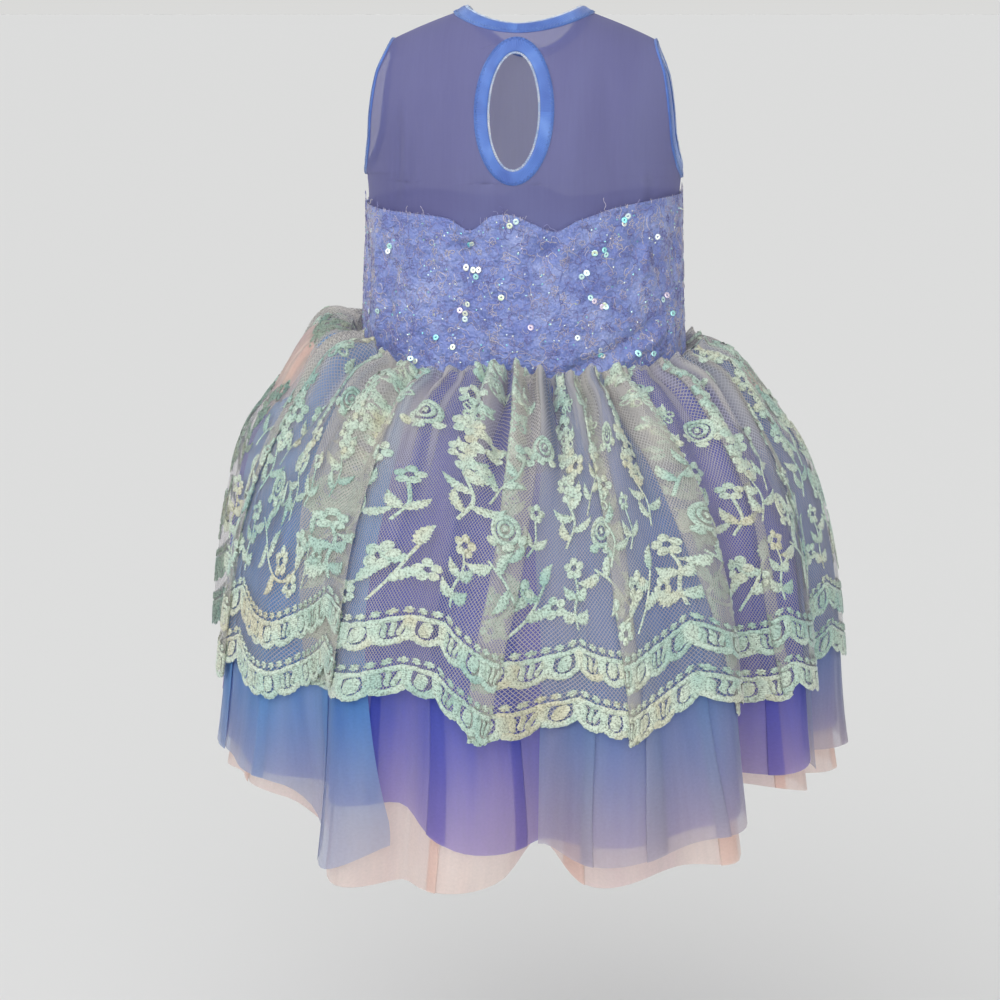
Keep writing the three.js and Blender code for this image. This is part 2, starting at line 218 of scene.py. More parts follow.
def stitch(bm, path, width, height, across=4, groove=0.0):
    # a raised satin stitch along a flat path, thickest in the middle; width is one number or one a point
    path = np.asarray(path, float)
    width = np.broadcast_to(width, len(path))
    along = arcAlong(path)
    heading = np.gradient(path, axis=0)
    if len(path) > 3 and np.allclose(path[0], path[-1], atol=1e-6):
        heading[0] = heading[-1] = path[1] - path[-2]
    heading /= np.maximum(np.linalg.norm(heading, axis=1, keepdims=True), 1e-9)
    sideways = np.stack([-heading[:, 1], heading[:, 0]], 1)
    made = bmesh.ops.create_grid(bm, x_segments=len(path) - 1, y_segments=across, size=1)["verts"]
    alongLayer = bm.verts.layers.float["along"]
    toneLayer = bm.verts.layers.float["tone"]
    shade = dice.random()
    for vert in made:
        i = round((vert.co.x + 1) / 2 * (len(path) - 1))
        s = vert.co.y
        x, y = path[i] + sideways[i] * s * width[i] / 2
        crown = math.sqrt(max(0, 1 - s * s)) * (1 - groove * (abs(s) < 0.1))
        vert.co = (x * mm, y * mm, height * mm * crown)
        vert[alongLayer] = along[i]
        vert[toneLayer] = shade
    return made


def newWork():
    bm = bmesh.new()
    bm.verts.layers.float.new("along")
    bm.verts.layers.float.new("tone")
    return bm


def meshOf(bm, name):
    mesh = bpy.data.meshes.new(name)
    bm.to_mesh(mesh)
    bm.free()
    return mesh


def layFlatWork(mesh, place):
    # moves flat work onto its cloth: place turns x, y and height into points in mm
    flat = np.empty(len(mesh.vertices) * 3)
    mesh.vertices.foreach_get("co", flat)
    mesh.vertices.foreach_set("co", (place(*flat.reshape(-1, 3).T) * mm).ravel())


def smoothPath(points, steps=6):
    # a curve through a few points
    points = np.array(points, float)
    padded = np.vstack([2 * points[0] - points[1], points, 2 * points[-1] - points[-2]])
    line = []
    for a, b, c, d in zip(padded, padded[1:], padded[2:], padded[3:]):
        for f in np.arange(steps) / steps:
            line.append(0.5 * (2 * b + (c - a) * f + (2 * a - 5 * b + 4 * c - d) * f**2
                               + (3 * b - a - 3 * c + d) * f**3))
    return np.array(line + [points[-1]])


def oval(x, y, halfWidth, halfHeight, steps):
    angle = np.linspace(0, 2 * math.pi, steps + 1)
    return np.stack([x + halfWidth * np.cos(angle), y + halfHeight * np.sin(angle)], 1)


def layOn(ring, along, across, lift):
    # a point at a distance along a band, across it and out from it
    a = np.interp(along, ring["along"], np.arange(len(ring["along"])))
    b = across / ring["across"][-1] * (len(ring["across"]) - 1)
    return readGrid(ring["points"], a, b) + readGrid(ring["normals"], a, b) * np.asarray(lift)[..., None]


def readGrid(grid, a, b):
    i = np.clip(a.astype(int), 0, grid.shape[0] - 2)
    j = np.clip(b.astype(int), 0, grid.shape[1] - 2)
    f = (a - i)[..., None]
    g = (b - j)[..., None]
    return ((1 - f) * ((1 - g) * grid[i, j] + g * grid[i, j + 1])
            + f * ((1 - g) * grid[i + 1, j] + g * grid[i + 1, j + 1]))


# ---------- finishes ----------


def newFinish(name):
    finish = bpy.data.materials.new(name)
    finish.use_nodes = True
    finish.node_tree.nodes.clear()
    return finish, finish.node_tree


def setInput(tree, socket, value):
    if isinstance(value, bpy.types.NodeSocket):
        tree.links.new(value, socket)
    else:
        socket.default_value = value


def addNode(tree, kind, settings=None, **inputs):
    node = tree.nodes.new("ShaderNode" + kind)
    for key, value in (settings or {}).items():
        setattr(node, key, value)
    for key, value in inputs.items():
        setInput(tree, node.inputs[key.replace("_", " ")], value)
    return node


def byPlace(tree, node, values):
    # fills the sockets of a node whose sockets share their names
    for socket, value in values.items():
        setInput(tree, node.inputs[socket], value)
    return node


def mathNode(tree, operation, first, second=0.5):
    node = addNode(tree, "Math", {"operation": operation})
    return byPlace(tree, node, {0: first, 1: second}).outputs[0]


def blendAmount(tree, share, first, second):
    node = addNode(tree, "Mix", {"data_type": "FLOAT"})
    return byPlace(tree, node, {0: share, 2: first, 3: second}).outputs[0]


def blendColour(tree, kind, share, first, second):
    node = addNode(tree, "Mix", {"data_type": "RGBA", "blend_type": kind})
    return byPlace(tree, node, {0: share, 6: first, 7: second}).outputs[2]


def mixShaders(tree, share, first, second):
    node = addNode(tree, "MixShader")
    return byPlace(tree, node, {0: share, 1: first.outputs[0], 2: second.outputs[0]})


def between(tree, value, fromLow, fromHigh, toLow, toHigh, curve="SMOOTHSTEP"):
    node = addNode(tree, "MapRange", {"interpolation_type": curve}, Value=value)
    limits = {"From Min": fromLow, "From Max": fromHigh, "To Min": toLow, "To Max": toHigh}
    return byPlace(tree, node, limits).outputs["Result"]


def colourRamp(tree, factor, stops):
    node = addNode(tree, "ValToRGB", Fac=factor)
    ramp = node.color_ramp
    while len(ramp.elements) < len(stops):
        ramp.elements.new(0.5)
    for element, (position, colour) in zip(ramp.elements, stops):
        element.position = position
        element.color = (*colour, 1)
    return node.outputs["Color"]


def noiseAt(tree, vector, scale, detail, roughness):
    return addNode(tree, "TexNoise", Vector=vector, Scale=scale, Detail=detail,
                   Roughness=roughness).outputs["Fac"]


def stretched(tree, vector, along):
    # a pattern drawn out along the cloth's length
    return addNode(tree, "Mapping", Vector=vector, Scale=(1, along, 1)).outputs["Vector"]


def bumpOf(tree, height, strength, distance):
    return addNode(tree, "Bump", Height=height, Strength=strength,
                   Distance=distance).outputs["Normal"]


def weaveOf(tree):
    return addNode(tree, "UVMap", {"uv_map": "weave"}).outputs["UV"]


def storedOf(tree, name):
    return addNode(tree, "Attribute", {"attribute_name": name}).outputs["Fac"]


def partOf(tree, vector, axis):
    return addNode(tree, "SeparateXYZ", Vector=vector).outputs[axis]


def finishWith(finish, shader):
    addNode(finish.node_tree, "OutputMaterial", Surface=shader.outputs[0])
    return finish


def opaqueFinish(finish, look, colour, **more):
    body = addNode(finish.node_tree, "BsdfPrincipled", Base_Color=colour, Roughness=look["roughness"], **more)
    return finishWith(finish, body)


def ribsOf(tree, along, spacing):
    return mathNode(tree, "SINE", mathNode(tree, "MULTIPLY", along, 2 * math.pi / spacing))


def threadLines(tree, uv, spacing, angle, thickness):
    # 1 on parallel threads of a net, 0 between them
    lines = addNode(tree, "Mapping", Vector=uv, Rotation=(0, 0, math.radians(angle)),
                    Scale=(1 / spacing, 1 / spacing, 1)).outputs["Vector"]
    place = mathNode(tree, "FRACT", partOf(tree, lines, "X"))
    away = mathNode(tree, "ABSOLUTE", mathNode(tree, "SUBTRACT", place, 0.5))
    return mathNode(tree, "LESS_THAN", away, thickness / 2)


def netCover(tree, uv, up, cover, net):
    # the net's threads in two directions; the gathers close it up towards the waist
    first, second = (threadLines(tree, uv, net["spacing"], angle, net["thread"]) for angle in net["angles"])
    grid = mathNode(tree, "MAXIMUM", first, second)
    bunch = noiseAt(tree, stretched(tree, uv, 0.07), net["bunch"], 2, 0.5)
    bunch = between(tree, bunch, *net["bunched"])
    gathered = mathNode(tree, "MULTIPLY", between(tree, up, net["gatherEnd"], 0, 0, net["gathered"]), bunch)
    holes = mathNode(tree, "ADD", gathered, net["hole"])
    return mathNode(tree, "MULTIPLY", cover, mathNode(tree, "MAXIMUM", grid, holes))


def sheerFinish(name, look):
    # threads with light through them, and clear between them
    finish, tree = newFinish(name)
    uv = weaveOf(tree)
    up = partOf(tree, uv, "Y")
    broad = noiseAt(tree, stretched(tree, uv, 0.25), look["patch"], 3, 0.6)
    colour = colourRamp(tree, broad, [(0.3, look["deep"]), (0.5, look["colour"]), (0.72, look["pale"])])
    fine = noiseAt(tree, stretched(tree, uv, 0.08), look["streak"], 3, 0.6)
    fine = blendAmount(tree, look["grainShare"], fine, noiseAt(tree, uv, look["grain"], 1, 0.5))
    thinnest, thickest = look["cover"] - look["uneven"], look["cover"] + look["uneven"]
    cover = between(tree, fine, 0, 1, thinnest, thickest, "LINEAR")
    if "net" in look:
        cover = netCover(tree, uv, up, cover, look["net"])
    if "hem" in look:
        # one layer of tulle shows at the hem and many bunched ones higher up; the colour deepens there,
        # partly for the bunched layers and partly as painted shade under the lace
        hemShare = between(tree, up, *look["fade"], look["hemShare"], 0)
        colour = blendColour(tree, "MIX", hemShare, colour, (*look["hem"], 1))
        cover = mathNode(tree, "MULTIPLY", cover, between(tree, up, *look["fade"], look["thin"], 1))
    body = addNode(tree, "BsdfPrincipled", Base_Color=colour, Roughness=look["roughness"],
                   Normal=bumpOf(tree, fine, look["bump"], look["relief"]), Sheen_Weight=look["sheen"],
                   Sheen_Roughness=look["sheenRoughness"], Specular_IOR_Level=look["shine"])
    glow = addNode(tree, "BsdfTranslucent", Color=colour)
    cloth = mixShaders(tree, look["through"], body, glow)
    return finishWith(finish, mixShaders(tree, cover, addNode(tree, "BsdfTransparent"), cloth))


sheer = {"grainShare": 0.25, "relief": 0.0006, "sheenRoughness": 0.4, "shine": 0.3}
tulle = {**sheer, "patch": 14, "streak": 75, "grain": 600, "bump": 0.25, "roughness": 0.8, "sheen": 0.2,
         "through": 0.55, "uneven": 0.26}
looks = {
    # sky, haze and periwinkle mix towards their hem colour below the fade; the deeper colour above it is
    # partly painted shade under the lace
    "sky": {**tulle, "colour": (0.17, 0.40, 0.72), "deep": (0.08, 0.28, 0.67), "pale": (0.36, 0.54, 0.78),
            "cover": 0.86, "thin": 0.82, "hem": (0.50, 0.50, 0.62), "hemShare": 0.8,
            "fade": (-0.352, -0.245)},
    "haze": {**tulle, "colour": (0.22, 0.35, 0.60), "deep": (0.11, 0.27, 0.64), "pale": (0.38, 0.44, 0.63),
             "cover": 0.84, "thin": 0.82, "hem": (0.60, 0.53, 0.58), "hemShare": 0.85,
             "fade": (-0.352, -0.235)},
    "periwinkle": {**tulle, "colour": (0.12, 0.15, 0.59), "deep": (0.06, 0.10, 0.54),
                   "pale": (0.22, 0.21, 0.64), "cover": 0.9, "thin": 0.8, "hem": (0.42, 0.33, 0.62),
                   "hemShare": 0.75, "fade": (-0.352, -0.25)},
    "blush": {**tulle, "colour": (0.82, 0.66, 0.60), "deep": (0.74, 0.57, 0.56), "pale": (0.90, 0.77, 0.70),
              "cover": 0.76},
    "net": {**sheer, "colour": (0.62, 0.60, 0.57), "deep": (0.52, 0.51, 0.49), "pale": (0.74, 0.70, 0.65),
            "patch": 12, "streak": 260, "grain": 500, "bump": 0.2, "roughness": 0.6, "sheen": 0.3,
            "through": 0.45, "cover": 0.85, "uneven": 0.12,
            "net": {"spacing": 1.75 * mm, "thread": 0.21, "angles": (36, 144), "hole": 0.08,
                    "gathered": 0.6, "gatherEnd": -0.15, "bunch": 62, "bunched": (0.42, 0.62, 0.15, 1.75)}},
    "mesh": {**sheer, "colour": (0.18, 0.18, 0.38), "deep": (0.15, 0.15, 0.34), "pale": (0.21, 0.22, 0.43),
             "patch": 8, "streak": 420, "grain": 900, "bump": 0.1, "roughness": 0.7, "sheen": 0.15,
             "through": 0.35, "cover": 0.84, "uneven": 0.06},
}


def threadFinish(name, look):
    # satin-stitched thread: ribs across the run of each stitch, and tones that change from motif to motif
    finish, tree = newFinish(name)
    place = addNode(tree, "TexCoord").outputs["Object"]
    ribs = ribsOf(tree, storedOf(tree, "along"), look["rib"])
    grain = noiseAt(tree, place, look["grain"], 2, 0.7)
    patches = noiseAt(tree, place, look["patch"], 3, 0.6)
    tone = mathNode(tree, "SUBTRACT", storedOf(tree, "tone"), 0.5)
    shift = mathNode(tree, "MULTIPLY", tone, look["toneShift"])
    colour = colourRamp(tree, mathNode(tree, "ADD", patches, shift), look["stops"])
    speckle = [(0.36, (look["dark"],) * 3), (0.5, (0.9, 0.9, 0.9)), (0.64, (1, 1, 1))]
    colour = blendColour(tree, "MULTIPLY", 1.0, colour, colourRamp(tree, grain, speckle))
    height = mathNode(tree, "ADD", mathNode(tree, "MULTIPLY", ribs, 0.35), grain)
    return opaqueFinish(finish, look, colour, Normal=bumpOf(tree, height, look["bump"], 0.0005),
                        Sheen_Weight=look["sheen"], Metallic=look["metallic"])


cord = {"rib": 1.1, "grain": 900, "patch": 40, "roughness": 0.4, "bump": 0.5, "sheen": 0.2,
        "metallic": 0.2, "toneShift": 0.9, "dark": 0.5,
        "stops": [(0.2, (0.17, 0.17, 0.42)), (0.4, (0.30, 0.30, 0.58)), (0.6, (0.42, 0.38, 0.54)),
                  (0.8, (0.60, 0.55, 0.62))]}
threads = {
    "embroidery": {"rib": 1.5, "grain": 700, "patch": 16, "roughness": 0.45, "bump": 0.7, "sheen": 0.4,
                   "metallic": 0.0, "toneShift": 0.1, "dark": 0.42,
                   "stops": [(0.32, (0.30, 0.48, 0.42)), (0.45, (0.45, 0.60, 0.50)),
                             (0.55, (0.56, 0.66, 0.54)), (0.68, (0.58, 0.57, 0.41))]},
    "cord": cord,
    "picot": {**cord, "metallic": 0.0, "toneShift": 0.3, "dark": 0.7,
              "stops": [(0.3, (0.36, 0.52, 0.80)), (0.5, (0.62, 0.72, 0.88)), (0.7, (0.85, 0.88, 0.92))]},
    "zigzag": {**cord, "metallic": 0.0, "toneShift": 0.2, "dark": 0.6,
               "stops": [(0.3, (0.05, 0.12, 0.42)), (0.5, (0.10, 0.20, 0.56)), (0.7, (0.2, 0.34, 0.7))]},
}
satin = {"patch": 34, "fleck": 560, "fleckShare": 0.35, "crush": 75, "grain": 0.12, "roughness": 0.32,
         "bump": 0.008, "sheen": 0.3,
         "stops": [(0.34, (0.10, 0.14, 0.43)), (0.5, (0.17, 0.23, 0.53)), (0.66, (0.32, 0.38, 0.66))],
         "flecks": [(0.34, (0.08, 0.11, 0.36)), (0.45, (0.17, 0.22, 0.50)), (0.6, (0.24, 0.27, 0.54)),
                    (0.68, (0.52, 0.50, 0.60))]}
elastic = {"rib": 0.0011, "patch": 40, "roughness": 0.35, "bump": 0.35, "sheen": 0.3,
           "stops": [(0.3, (0.04, 0.10, 0.38)), (0.55, (0.07, 0.17, 0.52)), (0.75, (0.14, 0.27, 0.64))]}
# ring sequins and the glint specks share these tones; on the specks the pale ones are painted glints
sequin = {"roughness": 0.12, "metallic": 0.55,
          "stops": [(0.0, (0.25, 0.85, 0.9)), (0.35, (0.55, 0.92, 0.88)), (0.6, (0.9, 0.95, 0.95)),
                    (0.85, (0.75, 0.9, 0.6)), (1.0, (0.85, 0.7, 0.9))]}


def satinFinish():
    # crushed satin under a fine speckled net
    finish, tree = newFinish("bodice satin and net")
    uv = weaveOf(tree)
    colour = colourRamp(tree, noiseAt(tree, uv, satin["patch"], 4, 0.7), satin["stops"])
    flecks = noiseAt(tree, uv, satin["fleck"], 2, 0.7)
    speckle = colourRamp(tree, flecks, satin["flecks"])
    colour = blendColour(tree, "MIX", satin["fleckShare"], colour, speckle)
    crush = noiseAt(tree, uv, satin["crush"], 3, 0.6)
    crush = mathNode(tree, "ADD", crush, mathNode(tree, "MULTIPLY", flecks, satin["grain"]))
    return opaqueFinish(finish, satin, colour, Normal=bumpOf(tree, crush, 1.0, satin["bump"]),
                        Sheen_Weight=satin["sheen"])


def elasticFinish():
    finish, tree = newFinish("fold-over elastic")
    uv = weaveOf(tree)
    ribs = ribsOf(tree, partOf(tree, uv, "X"), elastic["rib"])
    colour = colourRamp(tree, noiseAt(tree, uv, elastic["patch"], 2, 0.5), elastic["stops"])
    return opaqueFinish(finish, elastic, colour, Normal=bumpOf(tree, ribs, elastic["bump"], 0.0003),
                        Sheen_Weight=elastic["sheen"])


def sequinFinish():
    finish, tree = newFinish("ring sequins")
    colour = colourRamp(tree, storedOf(tree, "tone"), sequin["stops"])
    return opaqueFinish(finish, sequin, colour, Metallic=sequin["metallic"], Coat_Weight=1.0)


finishes = {
    "mesh": sheerFinish("yoke mesh", looks["mesh"]),
    "net": sheerFinish("lace net", looks["net"]),
    "embroidery": threadFinish("sage embroidery", threads["embroidery"]),
    "cord": threadFinish("bodice cord", threads["cord"]),
    "picot": threadFinish("picot thread", threads["picot"]),
    "zigzag": threadFinish("zigzag thread", threads["zigzag"]),
    "satin": satinFinish(),
    "binding": elasticFinish(),
    "sequin": sequinFinish(),
    **{layer: sheerFinish(layer + " tulle", looks[layer])
       for layer in ("sky", "haze", "periwinkle", "blush")},
}


def dress(piece, finish, slot, *nodes):
    # gives a piece its finish, hangs it on the root body and hides the imported nodes it stands for
    piece.data.materials.clear()
    piece.data.materials.append(finishes[finish])
    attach(piece, "root")
    if nodes:
        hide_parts(*nodes)
    return piece


# ---------- skirt form ----------

runStep = 2.0
runTurns = np.arange(-90, 271, runStep)
runDistances = np.arange(0, 402, runStep)


def runTotal(value):
    parts = (value[:, 1:] + value[:, :-1]) / 2 * runStep
    return np.concatenate([np.zeros((len(value), 1)), np.cumsum(parts, axis=1)], axis=1)


def makeRun():
    # how far the cloth has gone out and down, and its slope, at each turn and distance
    turn, distance = np.meshgrid(runTurns, runDistances, indexing="ij")
    facing = cosDeg(turn)
    sideways = sinDeg(turn)
    front, right, back, left = (readTable(skirtSlope, "distance", distance, column)
                                for column in ("front", "right", "back", "left"))
    middle = np.where(facing > 0, front, back)
    edge = np.where(sideways > 0, right, left)
    slope = np.radians(middle * facing**2 + edge * sideways**2)
    return {"slope": slope, "out": runTotal(np.cos(slope)), "down": runTotal(np.sin(slope))}


skirtRun = makeRun()


def readRun(column, turn, distance):
    a = np.clip((wrapTurn(turn) - runTurns[0]) / runStep, 0, len(runTurns) - 1.001)
    b = np.clip(distance / runStep, 0, len(runDistances) - 1.001)
    return readGrid(skirtRun[column][..., None], a, b)[..., 0]


# the tight gathers at the waist, which die out below it
gathers = {"coarse": 23, "coarseDepth": 3.6, "coarseOver": (10, 40, 60, 175), "fine": 47, "fineDepth": 6.2,
           "fineOver": (1, 14, 24, 135), "tight": 83, "tightDepth": 2.4, "tightOver": (1, 8, 20, 80),
           "puff": 12, "puffAt": 6}
tuckUnder = {"above": 5.0, "inward": 3.4}  # the skirt's top edge goes up behind the bodice
layerDrawn = {"lace": 1, "sky": 1, "periwinkle": 0.9, "blush": -0.15}
layerInset = {"lace": (0, 0), "sky": (1.7, 5), "periwinkle": (3.4, 10), "blush": (5.1, 15)}
fullLength = 300  # the distance at which folds, lean and spacing have grown to their full size


def gatherPhase(turn):
    # the gathers are unevenly spaced
    fine = gathers["fine"] * turn + 80 * sinDeg(5 * turn) + 50 * cosDeg(2 * turn)
    tight = gathers["tight"] * turn + 90 * sinDeg(7 * turn) + 60 * sinDeg(11 * turn)
    return fine, tight


def pinched(phase):
    # round crests between sharp valleys
    return 2 * np.abs(sinDeg(phase / 2)) ** 0.8 - 1


def foldDepth(turn, distance):
    depth = 0
    for foldTurn, width, deep in zip(*skirtFolds.values()):
        depth = depth + deep * hill(turnFrom(foldTurn, turn) / width)
    return depth * (np.clip(distance, 0, None) / fullLength) ** 1.5


# where the blush layer puffs out at the sides and the lace over it is drawn in: place, reach and depth
sidePuffs = {"turn": [-80, 88], "distance": [66, 58], "wide": [17, 13], "tall": [34, 28], "depth": [15, 9]}


def drawnIn(turn, distance):
    depth = 0
    for puffTurn, puffDistance, wide, tall, deep in zip(*sidePuffs.values()):
        apart = turnFrom(puffTurn, turn)
        depth = depth + deep * np.exp(-((apart / wide) ** 2) - ((distance - puffDistance) / tall) ** 2)
    return depth


def growAndFade(over, distance):
    # one share that grows over the first two distances and one that dies out over the last two
    return smooth(over[0], over[1], distance), 1 - smooth(over[2], over[3], distance)


def gatherDepth(turn, distance):
    phase = gathers["coarse"] * turn + 70 * sinDeg(3 * turn) + 50 * sinDeg(8 * turn)
    grow, fade = growAndFade(gathers["coarseOver"], distance)
    coarse = pinched(phase) * gathers["coarseDepth"] * grow * fade
    uneven = 1 + 0.35 * sinDeg(6 * turn + 40) + 0.25 * cosDeg(13 * turn)
    both = 0
    for kind, phase in zip(("fine", "tight"), gatherPhase(turn)):
        grow, fade = growAndFade(gathers[kind + "Over"], distance)
        both = both + grow * fade * gathers[kind + "Depth"] * pinched(phase)
    return coarse + uneven * both


def skirtPoint(turn, distance, inset, ripple, drawn):
    slope, out, down = (readRun(column, turn, np.maximum(distance, 0))
                        for column in ("slope", "out", "down"))
    bottom = edgeHeights(turn)[0]
    start = bodyPoint(turn, bottom)
    tucked = smooth(2, -6, distance)
    fine, tight = gatherPhase(turn)
    uneven = 0.14 * sinDeg(5 * turn + 90 * sinDeg(9 * turn))
    crest = 0.5 + 0.26 * pinched(fine) + 0.14 * pinched(tight) + uneven
    puff = gathers["puff"] * hill((distance - gathers["puffAt"]) / gathers["puffAt"]) * crest
    proud = gatherDepth(turn, distance) - inset
    ripple = ripple - drawn * drawnIn(turn, distance)
    reach = 2 + out + proud * np.sin(slope) + foldDepth(turn, distance) + ripple + 0.6 * puff
    reach = reach * (1 - tucked) - (tuckUnder["inward"] + 0.4 * inset) * tucked
    rise = -down + proud * np.cos(slope) + puff * cosDeg(35)
    rise = rise * (1 - tucked) + (tuckUnder["above"] * smooth(-2, -8, distance) - 1.2) * tucked
    return joined(start[..., 0] + reach * sinDeg(turn), start[..., 1] - reach * cosDeg(turn), bottom + rise)


def layColumns(span, pleats, step):
    # the columns of a layer, each with its turn at the waist and at the hem and how far it stands out.
    # A pleat runs forward, back under itself and forward again; side 1 shows its right edge, -1 its left.
    edges = [(span[0], span[1])]
    bends = []
    for top, hem, halfTop, halfHem, side, depth in sorted(zip(*pleats.values())):
        edges.append((top - halfTop, hem - halfHem))
        bends.append((top, hem, halfTop, halfHem, side * depth))
        edges.append((top + halfTop, hem + halfHem))
    edges.append((span[2], span[3]))
    columns = []
    for k in range(0, len(edges), 2):
        (topA, hemA), (topB, hemB) = edges[k], edges[k + 1]
        count = max(2, round((hemB - hemA) / step))
        for f in np.arange(count) / count:
            columns.append((topA + (topB - topA) * f, hemA + (hemB - hemA) * f, 0))
        if k // 2 < len(bends):
            top, hem, halfTop, halfHem, depth = bends[k // 2]
            count = max(14, round(8 * halfTop))
            for t in np.arange(count) / count:
                swing = -math.cos(3 * math.pi * t)
                out = depth * math.sin(2 * math.pi * t)
                columns.append((top + halfTop * swing, hem + halfHem * swing, out))
    columns.append((span[2], span[3], 0))
    return np.array(columns).T


# top is where a layer starts, above the waist; its rows lie closer together towards the waist (spread);
# drift is how late it leans over to its turn at the hem, and sway how far the folds wander; pleats are full
# grown at full; and the cloth is measured along the row at measured, as a share of the way up
laying = {"top": -8.0, "spread": 1.3, "drift": 1.5, "full": 150, "measured": 0.3, "sway": 0.55}


def layLayer(layer, span, pleats, step, rows, hemExtra=None):
    # the grid of points of one skirt layer, rows from the hem up, and for each column its place along the
    # cloth, its turn at the hem and its length
    turnTop, turnHem, standOut = layColumns(span, pleats, step)
    length = readTable(hemLengths, "turn", wrapTurn(turnHem), layer)
    inset = layerInset[layer]
    top = laying["top"]
    share = (1 - np.linspace(0, 1, rows)) ** laying["spread"]

    def build(length):
        distance = top + (length[:, None] - top) * share[None, :]
        lean = np.clip(distance / fullLength, 0, None) ** laying["drift"]
        hem = turnHem[:, None]
        turn = turnTop[:, None] + (hem - turnTop[:, None]) * np.clip(lean, 0, 1.2)
        sway = np.sin(distance / 41 + hem / 9) + 0.6 * np.sin(distance / 23 - hem / 5)
        calm = 1 - 0.5 * smooth(180, 330, distance)
        turn = turn + laying["sway"] * sway * smooth(10, 60, distance) * calm
        spacing = inset[0] + (inset[1] - inset[0]) * np.clip(distance, 0, None) / fullLength
        ripple = standOut[:, None] * smooth(0, laying["full"], distance)
        return skirtPoint(turn, distance, spacing, ripple, layerDrawn[layer]), distance
    points, distance = build(length)
    along = arcAlong(points[:, int(rows * laying["measured"])])
    if hemExtra is not None:
        points, distance = build(length + hemExtra(along, turnHem))
    weave = joined(along[:, None] * mm, -distance * mm)
    return {"points": points, "along": along, "turnHem": turnHem, "weave": weave, "length": distance[:, 0]}


wholeRound = (-76, -76, 284, 284)
lacePleats = {
    "top": [-57, -35, 5, 21, 33, 51, 68, 98, 124, 150, 176, 204, 231, 262],
    "hem": [-52, -25, -2, 19, 42, 52, 71, 99, 126, 152, 178, 206, 233, 262],
    "halfTop": [4, 8, 3.5, 2, 4, 1.5, 2.5, 6, 2.5, 4, 2.5, 5, 2.5, 3.5],
    "halfHem": [2, 3, 1, 0.8, 2.5, 1, 1.5, 3, 1, 2, 1.2, 3, 1, 2],
    "side": [1, 1, 1, -1, 1, -1, -1, 1, -1, 1, 1, -1, 1, -1],
    "depth": [2.5, 3, 2, 2, 3, 2, 2, 3, 2, 2.5, 2, 2.5, 2, 2.5],
}


def cuspPlaces(along, turnHem):
    # the scallops' inner points as distances along the cloth, one more at each end of the ring
    rising = np.maximum.accumulate(turnHem)
    inner = np.interp(scallopCusps[1:], rising, along)
    return np.concatenate([[inner[-1] - along[-1]], inner, [inner[0] + along[-1]]])


def scallopAt(along, turnHem):
    # how much further the round scallops reach
    cusps = cuspPlaces(along, turnHem)
    i = np.searchsorted(cusps, along, side="right") - 1
    f = (along - cusps[i]) / (cusps[i + 1] - cusps[i])
    return scallopDepth * np.sin(math.pi * f) ** 0.8


lace = layLayer("lace", wholeRound, lacePleats, 0.8, 84, scallopAt)
lace["normals"] = clothNormals(lace["points"])
lace["cusps"] = cuspPlaces(lace["along"], lace["turnHem"])
lace["scallop"] = scallopAt(lace["along"], lace["turnHem"])
print("lace is", round(lace["along"][-1]), "mm round, scallops", np.diff(lace["cusps"]).round())
# the net is cut off along the border's lobes, so its own edge stops a little above their tips
netPiece = clothPiece("lace_net", (lace["points"][:, 1:], lace["weave"][:, 1:]))
dress(netPiece, "net", "lace", "lace_overskirt")
print("lace net laid:", len(netPiece.data.polygons), "faces")

# ---------- embroidery: drawn flat for one scallop, then laid on the lace round the whole hem ----------

scallopWidth = 105  # as drawn; x runs along the lace and y up from its hem
thread = {"height": 0.9, "clear": 0.25, "stem": 1.6, "scale": 1.2}


def turned(points, x, y, angle):
    # points about the origin, turned and moved to a place
    points = np.asarray(points, float)
    c, s = math.cos(math.radians(angle)), math.sin(math.radians(angle))
    return np.stack([x + points[:, 0] * c - points[:, 1] * s, y + points[:, 0] * s + points[:, 1] * c], 1)


def leaf(bm, x, y, angle, length, width, curve=0.12):
    # satin stitch from a middle vein out to a toothed edge
    length *= thread["scale"]
    width *= thread["scale"]
    along = np.linspace(0, 1, 14)
    path = turned(np.stack([length * along, curve * length * np.sin(math.pi * along)], 1), x, y, angle)
    teeth = 1 + 0.2 * np.cos(math.pi * np.arange(14))
    widths = width * np.sin(math.pi * (0.05 + 0.93 * along**0.75)) ** 1.05 * teeth
    stitch(bm, path, widths, thread["height"], groove=0.55)


def leafPair(bm, x, y, angle, length, width):
    leaf(bm, x, y, angle + 38, length, width, 0.1)
    leaf(bm, x, y, angle - 38, length * 0.9, width, -0.1)


def petal(bm, x, y, angle, inner, outer, width):
    along = np.linspace(0, 1, 5)
    path = turned(np.stack([inner + (outer - inner) * along, 0 * along], 1), x, y, angle)
    stitch(bm, path, width * np.array([0.45, 0.9, 1.05, 0.95, 0.45]), thread["height"], across=3)


def flower(bm, x, y, size, start):
    # five round petals about a small open eye
    size *= thread["scale"]
    for k in range(5):
        petal(bm, x, y, start + 72 * k, size * 0.26, size, size * 0.74)


def ringFlower(bm, x, y, size, start):
    # five looped petals
    size *= thread["scale"]
    for k in range(5):
        loop = turned(oval(size * 0.62, 0, size * 0.36, size * 0.27, 9), x, y, start + 72 * k)
        stitch(bm, loop, size * 0.22, thread["height"], across=2)


